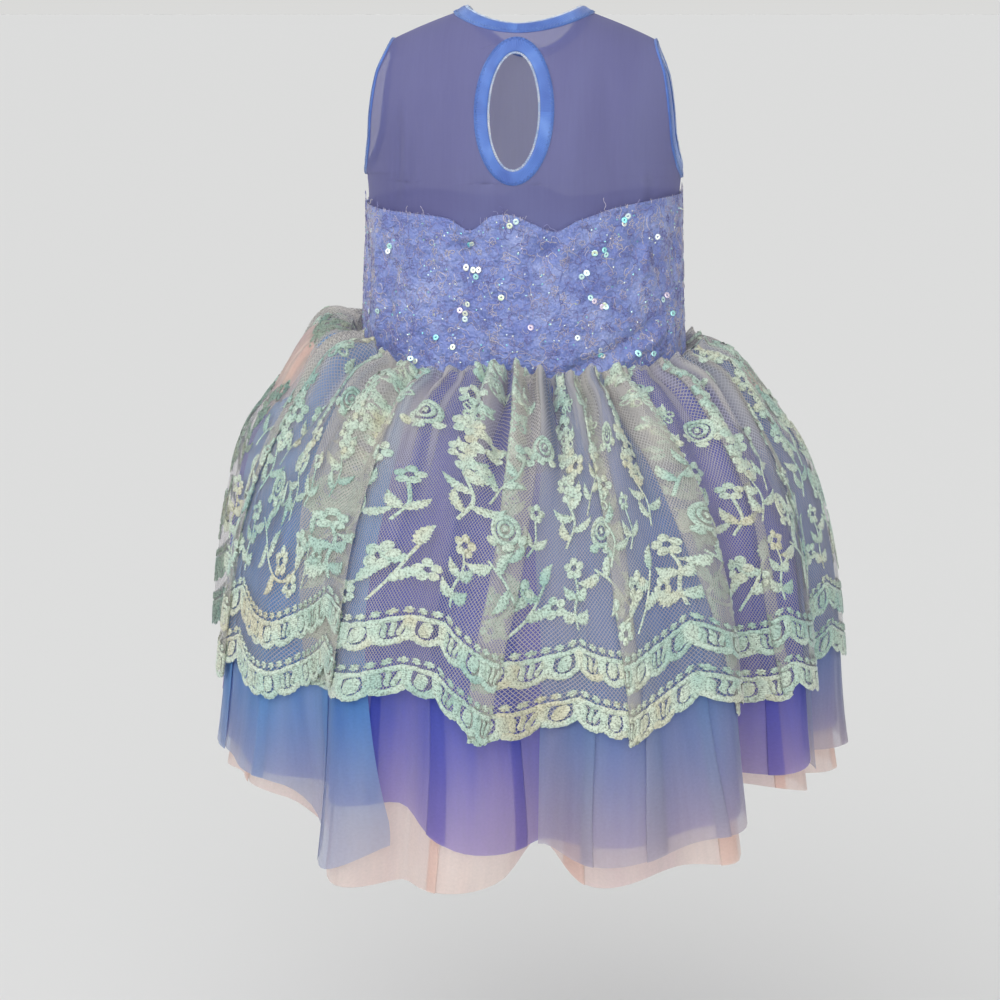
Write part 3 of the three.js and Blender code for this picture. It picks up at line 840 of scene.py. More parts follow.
def rose(bm, x, y, angle, size):
    # rings one in the other, with three lobes below
    size *= thread["scale"]
    stitch(bm, turned(oval(0, 0, size * 0.86, size, 22), x, y, angle), size * 0.36, thread["height"])
    stitch(bm, turned(oval(0, 0.1 * size, size * 0.47, size * 0.56, 16), x, y, angle), size * 0.26,
           thread["height"], across=3)
    stitch(bm, turned([(0, -0.12 * size), (0, 0.1 * size), (0, 0.32 * size)], x, y, angle), size * 0.3,
           thread["height"], across=3)
    for lobe in (-52, 0, 52):
        petal(bm, x, y, angle - 90 + lobe, size * 1.0, size * 1.62, size * 0.8)


def stem(bm, *points):
    stitch(bm, smoothPath(points), thread["stem"], thread["height"] * 0.8, across=2)


def star(bm, x, y, size):
    # the little star dots that edge the border
    for angle in (20, 80, 140):
        path = turned([(-size, 0), (0, 0), (size, 0)], x, y, angle + dice.uniform(-12, 12))
        stitch(bm, path, [size * 0.5, size * 0.95, size * 0.5], thread["height"] * 1.1, across=2)


border = {"lobes": 8, "lobeDip": 4.4, "rim": 4.2, "eyeHeight": 10.4, "eye": (6.8, 9.8), "slim": 2.5,
          "bar": 17.2, "barWidth": 3.4, "stars": 18, "starHeight": 22.4, "starSize": 2.3, "pitch": 33,
          "post": 5.4}


def lobeWork(bm, k, y):
    # a ragged lobe with dark slits in it, and the post at its left
    lobe = scallopWidth / border["lobes"]
    f = np.linspace(0, 1, 13)
    dip = border["lobeDip"] * (1 - np.sin(math.pi * f) ** 0.8)
    ragged = [border["rim"] * (1 + 0.14 * (-1) ** i + dice.uniform(-0.1, 0.12)) for i in range(13)]
    rim = np.stack([lobe * (k + f), y + border["rim"] / 2 + dip], 1)
    stitch(bm, rim, ragged, thread["height"], across=3)
    middle = lobe * (k + 0.5) + dice.uniform(-0.4, 0.4)
    wide, tall = border["eye"]
    rise = np.linspace(-1, 1, 7)
    eye = np.stack([0.5 * np.sin(rise * 3), rise * tall / 2], 1)
    # a lobe holds one plump eye or three slim bars with slits between them
    plump = wide if k % 2 else border["slim"]
    for aside, lean in [(0, 0)] if k % 2 else [(-3.1, 9), (0, 0), (3.1, -9)]:
        height = y + border["eyeHeight"] + dice.uniform(-0.5, 0.5)
        path = turned(eye, middle + aside, height, lean + dice.uniform(-5, 5))
        widths = plump * dice.uniform(0.85, 1.1) * np.array([0.5, 0.85, 1, 0.92, 1, 0.85, 0.55])
        stitch(bm, path, widths, thread["height"] * 1.2, groove=0.5)
    widths = border["post"] * dice.uniform(0.85, 1.15) * np.array([1.1, 0.8, 0.9, 1.2])
    stitch(bm, [(lobe * k, y + up) for up in (6.4, 9, 12, 17)], widths, thread["height"], across=3)


def borderUnit():
    # one scallop of both border bands: lobes, a bar, and a row of stars
    bm = newWork()
    for y in (0, border["pitch"]):
        for k in range(border["lobes"]):
            lobeWork(bm, k, y)
        x = np.linspace(0, scallopWidth, 50)
        bar = np.stack([x, y + border["bar"] + 0.3 * np.sin(x * 1.9)], 1)
        uneven = [border["barWidth"] * dice.uniform(0.82, 1.2) for _ in x]
        stitch(bm, bar, uneven, thread["height"], across=3)
        for k in range(border["stars"]):
            across = scallopWidth * (k + 0.5) / border["stars"]
            star(bm, across, y + border["starHeight"] + dice.uniform(-0.3, 0.3), border["starSize"])
    return meshOf(bm, "border_unit")


vineCut = {"leaf": (12, 15), "leafGap": (7, 9), "bloom": (5.8, 7.4), "bloomGap": (10, 13),
           "bloomLeaf": (9, 11), "lean": (38, 60)}


def vine(bm, points, bloomFrom):
    # a climbing stem: toothed leaves low down, and above them flowers packed one over the other
    line = smoothPath(points)
    stitch(bm, line, thread["stem"], thread["height"] * 0.8, across=2)
    along = arcAlong(line)
    side = 1
    at = 4
    while at < along[-1]:
        i = int(np.searchsorted(along, at))
        heading = line[min(i + 2, len(line) - 1)] - line[max(i - 2, 0)]
        angle = math.degrees(math.atan2(heading[1], heading[0]))
        x, y = line[i]
        if y < bloomFrom:
            length = dice.uniform(*vineCut["leaf"])
            lean = angle + side * dice.uniform(*vineCut["lean"])
            leaf(bm, x, y, lean, length, length * 0.37, 0.14 * side)
            at += dice.uniform(*vineCut["leafGap"])
        else:
            kind = flower if dice.random() < 0.5 else ringFlower
            kind(bm, x + side * dice.uniform(2, 5), y, dice.uniform(*vineCut["bloom"]), dice.uniform(0, 72))
            if dice.random() < 0.6:
                lean = angle - side * dice.uniform(40, 60)
                leaf(bm, x, y, lean, dice.uniform(*vineCut["bloomLeaf"]), 4.6, -0.14 * side)
            at += dice.uniform(*vineCut["bloomGap"])
        side = -side


# the flowers of one scallop, in the order in which they are sewn
sprayPlan = [
    # a sprig that climbs from the cusp between two scallops
    (stem, (1, 62), (0, 74), (3, 88), (1, 98)),
    (leafPair, 0.5, 68, 90, 12, 5),
    (leafPair, 2, 82, 94, 11, 4.6),
    (flower, 1, 102, 6, 20),
    # a branch that rises across the scallop, with leaves on both sides and star flowers at its end
    (stem, (16, 100), (28, 92), (42, 80), (56, 74), (68, 76)),
    (leaf, 19, 97, 195, 14, 5),
    (leaf, 24, 94, 66, 13, 5),
    (leaf, 31, 89, 242, 12, 4.6),
    (leaf, 38, 84, 50, 14, 5),
    (leaf, 46, 78, 236, 11, 4.6),
    (flower, 54, 83, 5.6, 10),
    (flower, 63, 70, 5.2, 40),
    (leaf, 68, 76, 30, 12, 4.6),
    # star flowers and leaves over its end
    (stem, (74, 66), (82, 78), (88, 92)),
    (flower, 76, 88, 5.8, 0),
    (leaf, 80, 75, 10, 13, 5),
    (leaf, 86, 86, 160, 10, 4.4),
    (flower, 94, 80, 5.4, 30),
    (leaf, 88, 92, 70, 12, 5),
    # a rose on its own branch
    (rose, 24, 122, 14, 7.6),
    (stem, (33, 114), (44, 110), (56, 118)),
    (leaf, 36, 113, 232, 12, 4.8),
    (leaf, 43, 111, 102, 13, 5),
    (leaf, 50, 113, 262, 12, 4.8),
    # the two climbing vines
    (vine, [(58, 100), (63, 116), (56, 134), (60, 154), (54, 174), (58, 196), (55, 220), (58, 250)], 136),
    (vine, [(101, 116), (106, 134), (100, 154), (104, 174), (99, 196), (103, 222), (100, 250)], 146),
    # leaf sprays between them
    (stem, (76, 106), (81, 118), (79, 134)),
    (leafPair, 79, 114, 80, 12, 4.8),
    (flower, 79, 138, 5.4, 15),
    (stem, (12, 136), (18, 150), (27, 160), (30, 172)),
    (leaf, 16, 147, 110, 11, 4.6),
    (leaf, 19, 151, 8, 12, 4.8),
    (leaf, 27, 160, 120, 11, 4.6),
    (flower, 31, 178, 6.5, 12),
    (rose, 79, 186, -8, 6.5),
    (leafPair, 26, 214, 80, 11, 5),
]


def sprayUnit():
    bm = newWork()
    for sew, *values in sprayPlan:
        sew(bm, *values)
    return meshOf(bm, "spray_unit")


def laceSpot(x, y, lift):
    # a place on the lace, by its distance along the cloth and its height above the hem
    x = x % lace["along"][-1]
    length = np.interp(x, lace["along"], lace["length"])
    scallop = np.interp(x, lace["along"], lace["scallop"])
    distance = length - scallop * smooth(62, 110, y) - y
    share = np.clip((distance - laying["top"]) / (length - laying["top"]), 0, 1)
    a = np.interp(x, lace["along"], np.arange(len(lace["along"])))
    b = (1 - share ** (1 / laying["spread"])) * (lace["points"].shape[1] - 1)
    lift = (lift + thread["clear"])[..., None]
    return readGrid(lace["points"], a, b) + readGrid(lace["normals"], a, b) * lift


def layRound(unit, name):
    # one flat unit laid in every scallop
    bm = bmesh.new()
    for start, end in zip(lace["cusps"], lace["cusps"][1:]):
        laid = unit.copy()
        layFlatWork(laid, lambda x, y, z: laceSpot(
            start + x / mm / scallopWidth * (end - start), y / mm, z / mm))
        bm.from_mesh(laid)
        bpy.data.meshes.remove(laid)
    bpy.data.meshes.remove(unit)
    piece = placePiece(name, meshOf(bm, name))
    dress(piece, "embroidery", "lace")
    print(name, len(piece.data.polygons), "faces")


layRound(borderUnit(), "lace_border")
layRound(sprayUnit(), "lace_sprays")

# ---------- tulle ----------

tullePleats = {
    "periwinkle": {
        "top": [-64, -52, -18, -7.5, 2, 50, 69],
        "hem": [-66, -53, -16, -6.5, 4, 51, 70],
        "halfTop": [0.6, 0.8, 0.4, 0.6, 0.4, 0.5, 0.7],
        "halfHem": [1.3, 1.8, 0.7, 1.2, 0.8, 1, 1.6],
        "side": [1, 1, -1, -1, 1, -1, -1],
        "depth": [1.4, 1.4, 1.1, 1.4, 1.2, 1.2, 1.4]},
    "blush": {
        "top": [-70, -44, -24, -6, 12, 33, 51, 66],
        "hem": [-71, -44, -25, -6.5, 12, 34, 52, 67],
        "halfTop": [0.6, 0.6, 0.5, 0.4, 0.5, 0.6, 0.5, 0.6],
        "halfHem": [1.4, 1.6, 0.9, 0.7, 1.2, 1.6, 0.8, 1.5],
        "side": [-1, 1, 1, 1, 1, -1, -1, 1],
        "depth": [1.4, 1.4, 1.1, 1, 1.4, 1.4, 1, 1.4]},
}
skyPanels = {"left": (-70, -70, -24, -15), "right": (8, 7, 38, 42), "right_side": (62, 62, 105, 105),
             "back_right": (123, 123, 168, 168), "back_left": (186, 186, 229, 229)}
skyPleats = {
    "left": {"top": [-62, -53, -41, -33], "hem": [-61, -51, -38, -27], "halfTop": [0.4, 0.6, 0.5, 0.6],
             "halfHem": [0.8, 1.5, 0.9, 1.4], "side": [-1, 1, -1, 1], "depth": [1.2, 1.4, 1, 1.3]},
    "right": {"top": [14, 22, 30], "hem": [13.5, 22.5, 32], "halfTop": [0.4, 0.6, 0.5],
              "halfHem": [0.7, 1.5, 0.9], "side": [1, -1, 1], "depth": [1.1, 1.4, 1.1]},
}


def foldsAway(table, start, end):
    # uneven pleats like the ones above, for the sides that the table leaves out
    made = {key: list(table.get(key, ())) for key in ("top", "hem", "halfTop", "halfHem", "side", "depth")}
    at = start
    while at < end:
        small = dice.random() < 0.5
        row = {"top": at, "hem": at + dice.uniform(-0.8, 1), "halfTop": 0.45 if small else 0.6,
               "halfHem": dice.uniform(0.7, 0.9) if small else dice.uniform(1.2, 1.7),
               "side": dice.choice((-1, 1)), "depth": 1 if small else 1.4}
        for key, value in row.items():
            made[key].append(value)
        at += dice.uniform(11, 18)
    return made


for layer, awayFrom in (("periwinkle", 86), ("blush", 84)):
    tullePleats[layer] = foldsAway(tullePleats[layer], awayFrom, 276)
for panel in ("right_side", "back_right", "back_left"):
    skyPleats[panel] = foldsAway({}, skyPanels[panel][0] + 6, skyPanels[panel][2] - 4)


def tulleLayer(name, cloth, finish, slot, node):
    piece = clothPiece(name, (cloth["points"], cloth["weave"]))
    dress(piece, finish, slot, node)


for layer in ("periwinkle", "blush"):
    cloth = layLayer(layer, wholeRound, tullePleats[layer], 1.2, 60)
    tulleLayer("tulle_skirt_" + layer, cloth, layer, "tulle_" + layer, "tulle_" + layer)
for panel, span in skyPanels.items():
    cloth = layLayer("sky", span, skyPleats[panel], 1.0, 60)
    finish = "sky" if "left" in panel else "haze"
    tulleLayer("tulle_panel_" + panel, cloth, finish, "tulle_sky", "tulle_sky_" + panel)
print("tulle laid")

# ---------- yoke ----------


def sideAt(height):
    return readTable(bodyForm, "height", height, "side")


def turnAt(across, height, front):
    turn = np.degrees(np.arcsin(np.clip(across / sideAt(height), -1, 1)))
    return turn if front else 180 - turn


def yokePoint(turn, height):
    point = bodyPoint(turn, height)
    out = np.abs(point[..., 0]) - yokeCut["neck"]
    shoulderTop = -yokeCut["drop"] * out / (yokeCut["tip"] - yokeCut["neck"])
    below = np.clip(shoulderTop - point[..., 2], 0, yokeCut["rounding"])
    point[..., 1] *= np.sqrt(1 - ((yokeCut["rounding"] - below) / yokeCut["rounding"]) ** 2)
    return point


def armholeEdge(angle):
    middle = (armhole["top"] + armhole["bottom"]) / 2
    height = middle + (armhole["top"] - armhole["bottom"]) / 2 * sinDeg(angle)
    out = readTable(armholeReach, "height", height, "out")
    return np.stack([out, -armhole["halfDepth"] * cosDeg(angle), height], -1)


def neckEdge(angle):
    front = cosDeg(angle) > 0
    height = np.where(front, yokeCut["frontNeck"], yokeCut["backNeck"]) * cosDeg(angle) ** 2
    turn = np.degrees(np.arcsin(yokeCut["neck"] * sinDeg(angle) / sideAt(height)))
    return yokePoint(np.where(front, turn, 180 - turn), height)


def keyholeEdge(angle, margin):
    middle = (keyhole["top"] + keyhole["bottom"]) / 2
    halfHeight = (keyhole["top"] - keyhole["bottom"]) / 2 + margin
    across = (keyhole["halfWidth"] + margin) * cosDeg(angle)
    height = middle + halfHeight * sinDeg(angle)
    return yokePoint(turnAt(across, height, True), height)


def towards(edge, middle, inset):
    way = np.array(middle) - edge
    return edge + way / np.linalg.norm(way, axis=-1, keepdims=True) * np.asarray(inset)[..., None]


neckMiddle = (0, 0, 30)
armholeMiddle = (armhole["centre"], 0, (armhole["top"] + armhole["bottom"]) / 2)
bindingCut = {"width": 9.5, "thick": 2.2, "gap": 0.3, "clear": 0.4, "hold": 1.5}

# soft folds in the stretch mesh: where each starts and ends (across, height), its half width and its depth
yokeFolds = {
    "front": [(-16, -92, -24, -150, 4, -2.6), (-9, -96, -13, -150, 3, 2.2),
              (-3, -104, -4, -150, 4, -1.4), (-82, -58, -86, -150, 2.6, -3),
              (-76, -60, -79, -150, 3, 2.6), (-69, -70, -70, -150, 3, -1.8),
              (16, -100, 28, -150, 6, -1.8), (94, -108, 86, -150, 3, -3.4),
              (88, -104, 80, -150, 3, 2.2), (58, -30, 74, -114, 8, -1.8),
              (-50, -28, -62, -114, 8, -1.8), (40, -60, 47, -150, 7, 1.4),
              (-38, -60, -44, -150, 8, 1.4)],
    "back": [(-30, -40, -34, -150, 6, -2), (12, -36, 9, -150, 7, 1.8), (46, -50, 52, -150, 5, -2.2),
             (-70, -60, -78, -150, 4, 2), (82, -70, 86, -150, 3.5, -2.6), (-4, -60, -10, -150, 5, -1.6),
             (-90, -90, -84, -150, 3, -2.4)],
}


def yokeFoldDepth(face, x, z):
    depth = 0
    for x0, z0, x1, z1, width, deep in yokeFolds[face]:
        f = (z - z0) / (z1 - z0)
        middle = x0 + (x1 - x0) * f + 1.5 * np.sin(f * 5 + x0)
        depth = depth + deep * hill((x - middle) / width) * smooth(-0.15, 0.35, f)
    return depth


# shares of a yoke panel's height: below the keyhole, beside it, over it and along the neck
yokeRungs = {"front": [3, 8, 1, 4], "back": [3, 0, 9, 4]}
yokeTuck = {"inward": 1.2, "from": -130, "to": -104}  # where the yoke goes in behind the bodice


def yokeEdges(face, rows):
    # the middle and the outer edge of half a yoke panel, point for point from its foot up
    front = face == "front"
    rungs = yokeRungs[face]
    holeFrom, holeTo, neckFrom, total = np.cumsum(rungs)
    middleTurn = 0.0 if front else 180.0
    margin = bindingCut["width"] - bindingCut["hold"]
    rung = np.linspace(0, total, rows)
    centreTop = keyholeEdge(-90.0, margin)[2] if front else armhole["bottom"]
    bridgeFoot = keyholeEdge(90.0, margin)[2] if front else armhole["bottom"]
    neckTop = towards(neckEdge(middleTurn), neckMiddle, bindingCut["hold"])[2]

    height = np.interp(rung, [0, holeFrom, holeTo, neckFrom],
                       [yokeCut["foot"], centreTop, bridgeFoot, neckTop])
    inner = yokePoint(np.full(rows, middleTurn), height)
    if front:
        round_ = (rung > holeFrom) & (rung < holeTo)
        inner[round_] = keyholeEdge(-90 + 180 * (rung[round_] - holeFrom) / rungs[1], margin)
    along = 90 * (rung - neckFrom) / rungs[3]
    neck = towards(neckEdge(np.where(front, along, 180 - along)), neckMiddle, bindingCut["hold"])
    inner = np.where((rung >= neckFrom)[:, None], neck, inner)

    height = np.interp(rung, [0, holeFrom], [yokeCut["foot"], armhole["bottom"]])
    low = yokePoint(np.full(rows, 90.0), height)
    reach = np.clip((rung - holeFrom) / (total - holeFrom), 0, 1)
    angle = -90 + (180 if front else -180) * reach
    high = towards(armholeEdge(angle), armholeMiddle, bindingCut["hold"])
    outer = np.where((rung < holeFrom)[:, None], low, high)
    return inner, outer, rung


def yokePatch(face, hand, columns=44, rows=150):
    # half a yoke panel, as a ladder from its middle edge to its outer edge, like its solid's
    front = face == "front"
    inner, outer, rung = yokeEdges(face, rows)
    holeFrom, total = yokeRungs[face][0], rung[-1]
    u = np.linspace(0, 1, columns)[:, None]
    innerTurn = turnAt(inner[:, 0], inner[:, 2], front)
    outerTurn = turnAt(outer[:, 0], outer[:, 2], front)
    turn = innerTurn + (outerTurn - innerTurn) * u
    points = yokePoint(turn, inner[:, 2] + (outer[:, 2] - inner[:, 2]) * u)
    slip = outer[:, 1] - yokePoint(outerTurn, outer[:, 2])[:, 1]
    tucked = 1 - smooth(yokeTuck["from"], yokeTuck["to"], points[..., 2])
    tuck = yokeTuck["inward"] * tucked
    edgeOnly = 3 + 20 * (1 - smooth(holeFrom, holeFrom + 1.5, rung))
    points[..., 1] = (1 - tuck / bodyForm["front"][0]) * (points[..., 1] + slip * u**edgeOnly)
    points[..., 0] *= hand * (1 - tuck / bodyForm["side"][0])
    free = smooth(0, 0.12, u) * smooth(1, 0.9, u) * (1 - tucked * 0.6) * smooth(total, total - 2.5, rung)
    sign = -1 if front else 1
    points[..., 1] += sign * free * yokeFoldDepth(face, points[..., 0], points[..., 2])
    points[..., 1] = np.minimum(points[..., 1], -0.02) if front else np.maximum(points[..., 1], 0.02)
    weave = joined(points[..., 0] * mm, points[..., 2] * mm)
    if (hand > 0) != front:
        points = points[::-1]
        weave = weave[::-1]
    return points, weave


for face in ("front", "back"):
    halves = [yokePatch(face, hand) for hand in (-1, 1)]
    piece = clothPiece("yoke_mesh_" + face, *halves)
    dress(piece, "mesh", "mesh", "yoke_" + face)
print("yoke laid")

# ---------- bindings ----------


def bindingPiece(name, node, edgeAt, steps):
    # fold-over elastic: a flat rounded band that holds the mesh's edge between its two halves
    angle = np.linspace(0, 360, steps + 1)
    across = np.linspace(0, bindingCut["width"], 9)
    lines = np.stack([edgeAt(angle, bindingCut["gap"] + inset) for inset in across], 1)
    normals = clothNormals(lines)
    normals[0] = normals[-1] = normals[0] + normals[-1]
    normals /= np.linalg.norm(normals, axis=-1, keepdims=True)
    normals *= np.sign(np.sum(normals * (lines - (0, 0, -70))))
    ring = {"points": lines, "normals": normals, "along": arcAlong(lines[:, 4]), "across": across}
    section = np.linspace(0, 2 * math.pi, 25)
    half = bindingCut["width"] / 2
    inset = half + half * np.sign(np.cos(section)) * np.abs(np.cos(section)) ** 0.6
    lift = bindingCut["thick"] / 2 * np.sign(np.sin(section)) * np.abs(np.sin(section)) ** 0.7
    lift *= 1 - 0.16 * hill((inset - half) / 1.6)
    along, inset = np.meshgrid(ring["along"], inset, indexing="ij")
    points = layOn(ring, along, inset, lift)
    weave = joined(along * mm, arcAlong(points[0]) * mm)
    piece = clothPiece(name, (points, weave), closed=True)
    dress(piece, "binding", "binding", node)
    return ring


def armholeLine(hand):
    def at(angle, inset):
        point = towards(armholeEdge(angle), armholeMiddle, inset + bindingCut["clear"])
        return point * (hand, 1, 1)
    return at


def keyholeLine(angle, inset):
    return keyholeEdge(angle, bindingCut["width"] + bindingCut["gap"] - inset)


def neckLine(angle, inset):
    return towards(neckEdge(angle), neckMiddle, inset + bindingCut["clear"])


rings = {
    "keyhole": bindingPiece("binding_keyhole", "keyhole_binding", keyholeLine, 240),
    "neck": bindingPiece("binding_neck", "neck_binding", neckLine, 320),
    "left": bindingPiece("binding_armhole_left", "armhole_binding_left", armholeLine(-1), 320),
    "right": bindingPiece("binding_armhole_right", "armhole_binding_right", armholeLine(1), 320),
}


def picotEdge(bm, ring):
    # little loops along the elastic's open edge
    length = ring["along"][-1]
    count = round(length / trim["picotPitch"])
    pitch = length / count
    edge = bindingCut["width"]
    for k in range(count):
        x = pitch * (k + 0.5)
        reach = trim["picotReach"] * dice.uniform(0.85, 1.15)
        loop = [(x - 0.42 * pitch, edge - 0.5), (x - 0.3 * pitch, edge + 0.6 * reach), (x, edge + reach),
                (x + 0.3 * pitch, edge + 0.6 * reach), (x + 0.42 * pitch, edge - 0.5)]
        stitch(bm, loop, trim["picot"], 0.45, across=2)


def zigzagEdge(bm, ring):
    # the zigzag that sews the elastic down, near its outer edge
    length = ring["along"][-1]
    count = 2 * round(length / trim["zigzag"])
    x = np.linspace(0, length, count + 1)
    y = np.where(np.arange(count + 1) % 2, trim["low"], trim["high"])
    stitch(bm, np.stack([x, y], 1), trim["thread"], 0.35, across=2)


trim = {"picotPitch": 1.9, "picotReach": 1.3, "picot": 0.7, "zigzag": 2.6, "low": 0.4, "high": 2.6,
        "thread": 0.6}
trimRows = [("picots", picotEdge, "picot", -0.2), ("zigzag", zigzagEdge, "zigzag", 1.05)]
for part, draw, finish, lifted in trimRows:
    for ringName, ring in rings.items():
        bm = newWork()
        draw(bm, ring)
        mesh = meshOf(bm, part)
        layFlatWork(mesh, lambda x, y, z: layOn(ring, x / mm, y / mm, z / mm + lifted))
        dress(placePiece("binding_" + part + "_" + ringName, mesh), finish, "binding")
print("bindings laid")

# ---------- bodice ----------

# creases: start (turn, height), end (turn, height), half width, depth; inwards is negative
bodiceCreases = {
    "front": [(-17, -143, -15, -168, 3.2, -3.4), (14.5, -143, 12, -166, 3.2, -3.4),
              (10, -140, 7, -160, 2.2, -1.6), (50, -132, 46, -166, 3.5, -2.2),
              (54, -136, 51, -176, 3, 1.4), (30, -236, 62, -200, 5, -1.6), (36, -240, 66, -212, 4, 1.2),
              (22, -238, 44, -216, 4, -1.2), (-58, -150, -62, -232, 5, 1.4),
              (-48, -170, -52, -238, 4, -1.5), (-34, -236, -26, -214, 4, -1.2),
              (-8, -238, -4, -212, 5, -1.1), (8, -240, 6, -206, 4, 1.1), (70, -140, 76, -190, 4, -1.2),
              (-76, -140, -72, -200, 5, -1.3)],
    "back": [(166, -138, 164, -168, 3.2, -2.6), (196, -138, 198, -164, 3.2, -2.8),
             (120, -132, 124, -180, 4, -1.6), (140, -240, 128, -206, 5, -1.4),
             (176, -240, 180, -206, 4, -1.2), (212, -238, 226, -204, 5, -1.5),
             (240, -140, 236, -190, 4, -1.4), (252, -160, 256, -226, 5, 1.2),
             (104, -160, 108, -230, 5, 1.2), (186, -150, 184, -190, 4, 1.0)],
}


# small dents and puckers all over the bodice
dents = {"count": 110, "wide": (1.5, 4.5), "tall": (5, 17), "lean": (-0.35, 0.35), "depth": (-1.7, 1.1)}


def bodiceGrid(face, columns=220, rows=60):
    fromTurn, toTurn = (-90, 90) if face == "front" else (90, 270)
    turn = np.linspace(fromTurn, toTurn, columns)
    bottom, top = edgeHeights(turn)
    height = bottom[:, None] + (top - bottom)[:, None] * np.linspace(0, 1, rows)
    points = bodyPoint(turn[:, None], height)
    depth = 0.9
    for _ in range(dents["count"]):
        t0, z0 = dice.uniform(fromTurn + 4, toTurn - 4), dice.uniform(-240, -138)
        wide, tall, lean = (dice.uniform(*dents[key]) for key in ("wide", "tall", "lean"))
        away = ((turn[:, None] - t0 - lean * (height - z0)) / wide) ** 2 + ((height - z0) / tall) ** 2
        depth = depth + dice.uniform(*dents["depth"]) * np.exp(-away)
    for t0, z0, t1, z1, width, deep in bodiceCreases[face]:
        f = np.clip((height - z0) / (z1 - z0), -0.2, 1.2)
        middle = t0 + (t1 - t0) * f + 1.2 * np.sin(f * 4 + t0)
        ends = smooth(-0.2, 0.15, f) * smooth(1.2, 0.6, f)
        depth = depth + 1.5 * deep * hill((turn[:, None] - middle) / width) * ends
    # the yoke's foot lies close behind the top edge, so nothing goes far in there
    depth = np.maximum(depth, 0.3 - 7 * smooth(-148, -160, height))
    points = points + clothNormals(points) * depth[..., None]
    along = arcAlong(points[:, rows // 2])
    weave = joined(along[:, None] * mm, height * mm)
    return {"points": points, "normals": clothNormals(points), "along": along, "weave": weave,
            "across": np.linspace(0, 1, rows), "turn": turn}


bodices = {}
for face in ("front", "back"):
    bodices[face] = bodiceGrid(face)
    piece = clothPiece("bodice_cloth_" + face, (bodices[face]["points"], bodices[face]["weave"]))
    wall = piece.modifiers.new("wall", "SOLIDIFY")
    wall.thickness = 1.2 * mm
    wall.offset = 0
    dress(piece, "satin", "bodice", "bodice_" + face)
print("bodice laid")

# scattered over the bodice: corded scribbles, small specks that are painted glints, and ring sequins; x runs
# from a panel's left seam
scatter = {"cordGap": 6.2, "cord": 0.46, "cordHeight": 0.4, "loopShare": 0.3, "cordSteps": (8, 22),
           "wander": 34, "glintSpecks": 260, "glintSpeck": [0.6, 1.1, 0.6], "ring": 1.35, "frays": 150,
           "fray": (0.5, 1.6), "longFray": (2, 6), "clear": 0.62, "margin": 6}
# ring sequins in loose groups: across, height, how many and how far they spread
sequinGroups = {
    "front": [(132, -162, 6, 11), (126, -200, 4, 6), (105, -218, 1, 1), (118, -224, 1, 1),
              (160, -140, 2, 4), (153, -188, 1, 1), (174, -208, 1, 1), (170, -240, 2, 3),
              (222, -157, 4, 8), (247, -139, 3, 7), (272, -150, 1, 1), (216, -190, 2, 5),
              (226, -194, 3, 5), (208, -216, 1, 1), (224, -225, 3, 7), (212, -174, 2, 5),
              (232, -240, 1, 1), (60, -160, 2, 9), (40, -205, 2, 8), (86, -238, 2, 5),
              (284, -200, 3, 12), (260, -232, 2, 6)],
    "back": [(30, -160, 3, 10), (66, -206, 4, 10), (96, -150, 3, 9), (120, -222, 3, 8),
             (150, -180, 5, 12), (176, -232, 2, 6), (190, -150, 3, 8), (214, -196, 4, 11),
             (246, -164, 3, 9), (270, -226, 3, 10), (288, -180, 2, 8), (44, -236, 2, 6)],
}


def bodiceSpot(face):
    def at(x, y, lift):
        bottom, top = edgesAt(face, x / mm)
        across = (y / mm - bottom) / (top - bottom)
        return layOn(bodices[face], x / mm, across, lift / mm + scatter["clear"])
    return at


def edgesAt(face, x):
    return edgeHeights(np.interp(x, bodices[face]["along"], bodices[face]["turn"]))


def scribble(bm, x, y, size):
    # a stretch of fine glittering cord: a loopy flower, or a line that wanders and curls
    if dice.random() < scatter["loopShare"]:
        angle = np.linspace(0, 2 * math.pi, 23)
        radius = size * (0.66 + 0.3 * np.cos(5 * angle) + 0.12 * np.sin(2 * angle + dice.uniform(0, 6)))
        loops = np.stack([radius * np.cos(angle), radius * np.sin(angle)], 1)
        path = turned(loops, x, y, dice.uniform(0, 72))
    else:
        heading, bend = dice.gauss(90, 50), dice.uniform(-50, 50)
        path = [(x, y)]
        for _ in range(dice.randint(*scatter["cordSteps"])):
            bend = 0.75 * bend + dice.uniform(-scatter["wander"], scatter["wander"])
            heading += bend
            path.append((path[-1][0] + cosDeg(heading), path[-1][1] + sinDeg(heading)))
    stitch(bm, path, scatter["cord"] * dice.uniform(0.7, 1.2), scatter["cordHeight"], across=2)


def ringSequin(bm, x, y):
    # a cupped ring that stands at its own slight angle
    made = stitch(bm, oval(x, y, scatter["ring"], scatter["ring"], 12), 1.5, 0.3, across=2)
    leanX, leanY = dice.uniform(-0.35, 0.35), dice.uniform(-0.35, 0.35)
    for vert in made:
        lean = (vert.co.x - x * mm) * leanX + (vert.co.y - y * mm) * leanY
        vert.co.z += (0.9 + abs(leanX) + abs(leanY)) * mm + lean


def scatterPiece(face, name, finish, draw):
    bm = newWork()
    draw(bm, face, bodices[face]["along"][-1])
    mesh = meshOf(bm, name)
    layFlatWork(mesh, bodiceSpot(face))
    return dress(placePiece(name + "_" + face, mesh), finish, "bodice")


def cordWork(bm, face, width):
    x = scatter["cordGap"] * 0.5
    while x < width - 3:
        low, high = edgesAt(face, x)
        y = low + dice.uniform(3, 8)
        while y < high - 3:
            inside = min(max(x + dice.uniform(-3.5, 3.5), scatter["margin"]), width - scatter["margin"])
            scribble(bm, inside, y, dice.uniform(2.2, 3.6))
            y += scatter["cordGap"] * dice.uniform(0.6, 1.2)
        x += scatter["cordGap"]


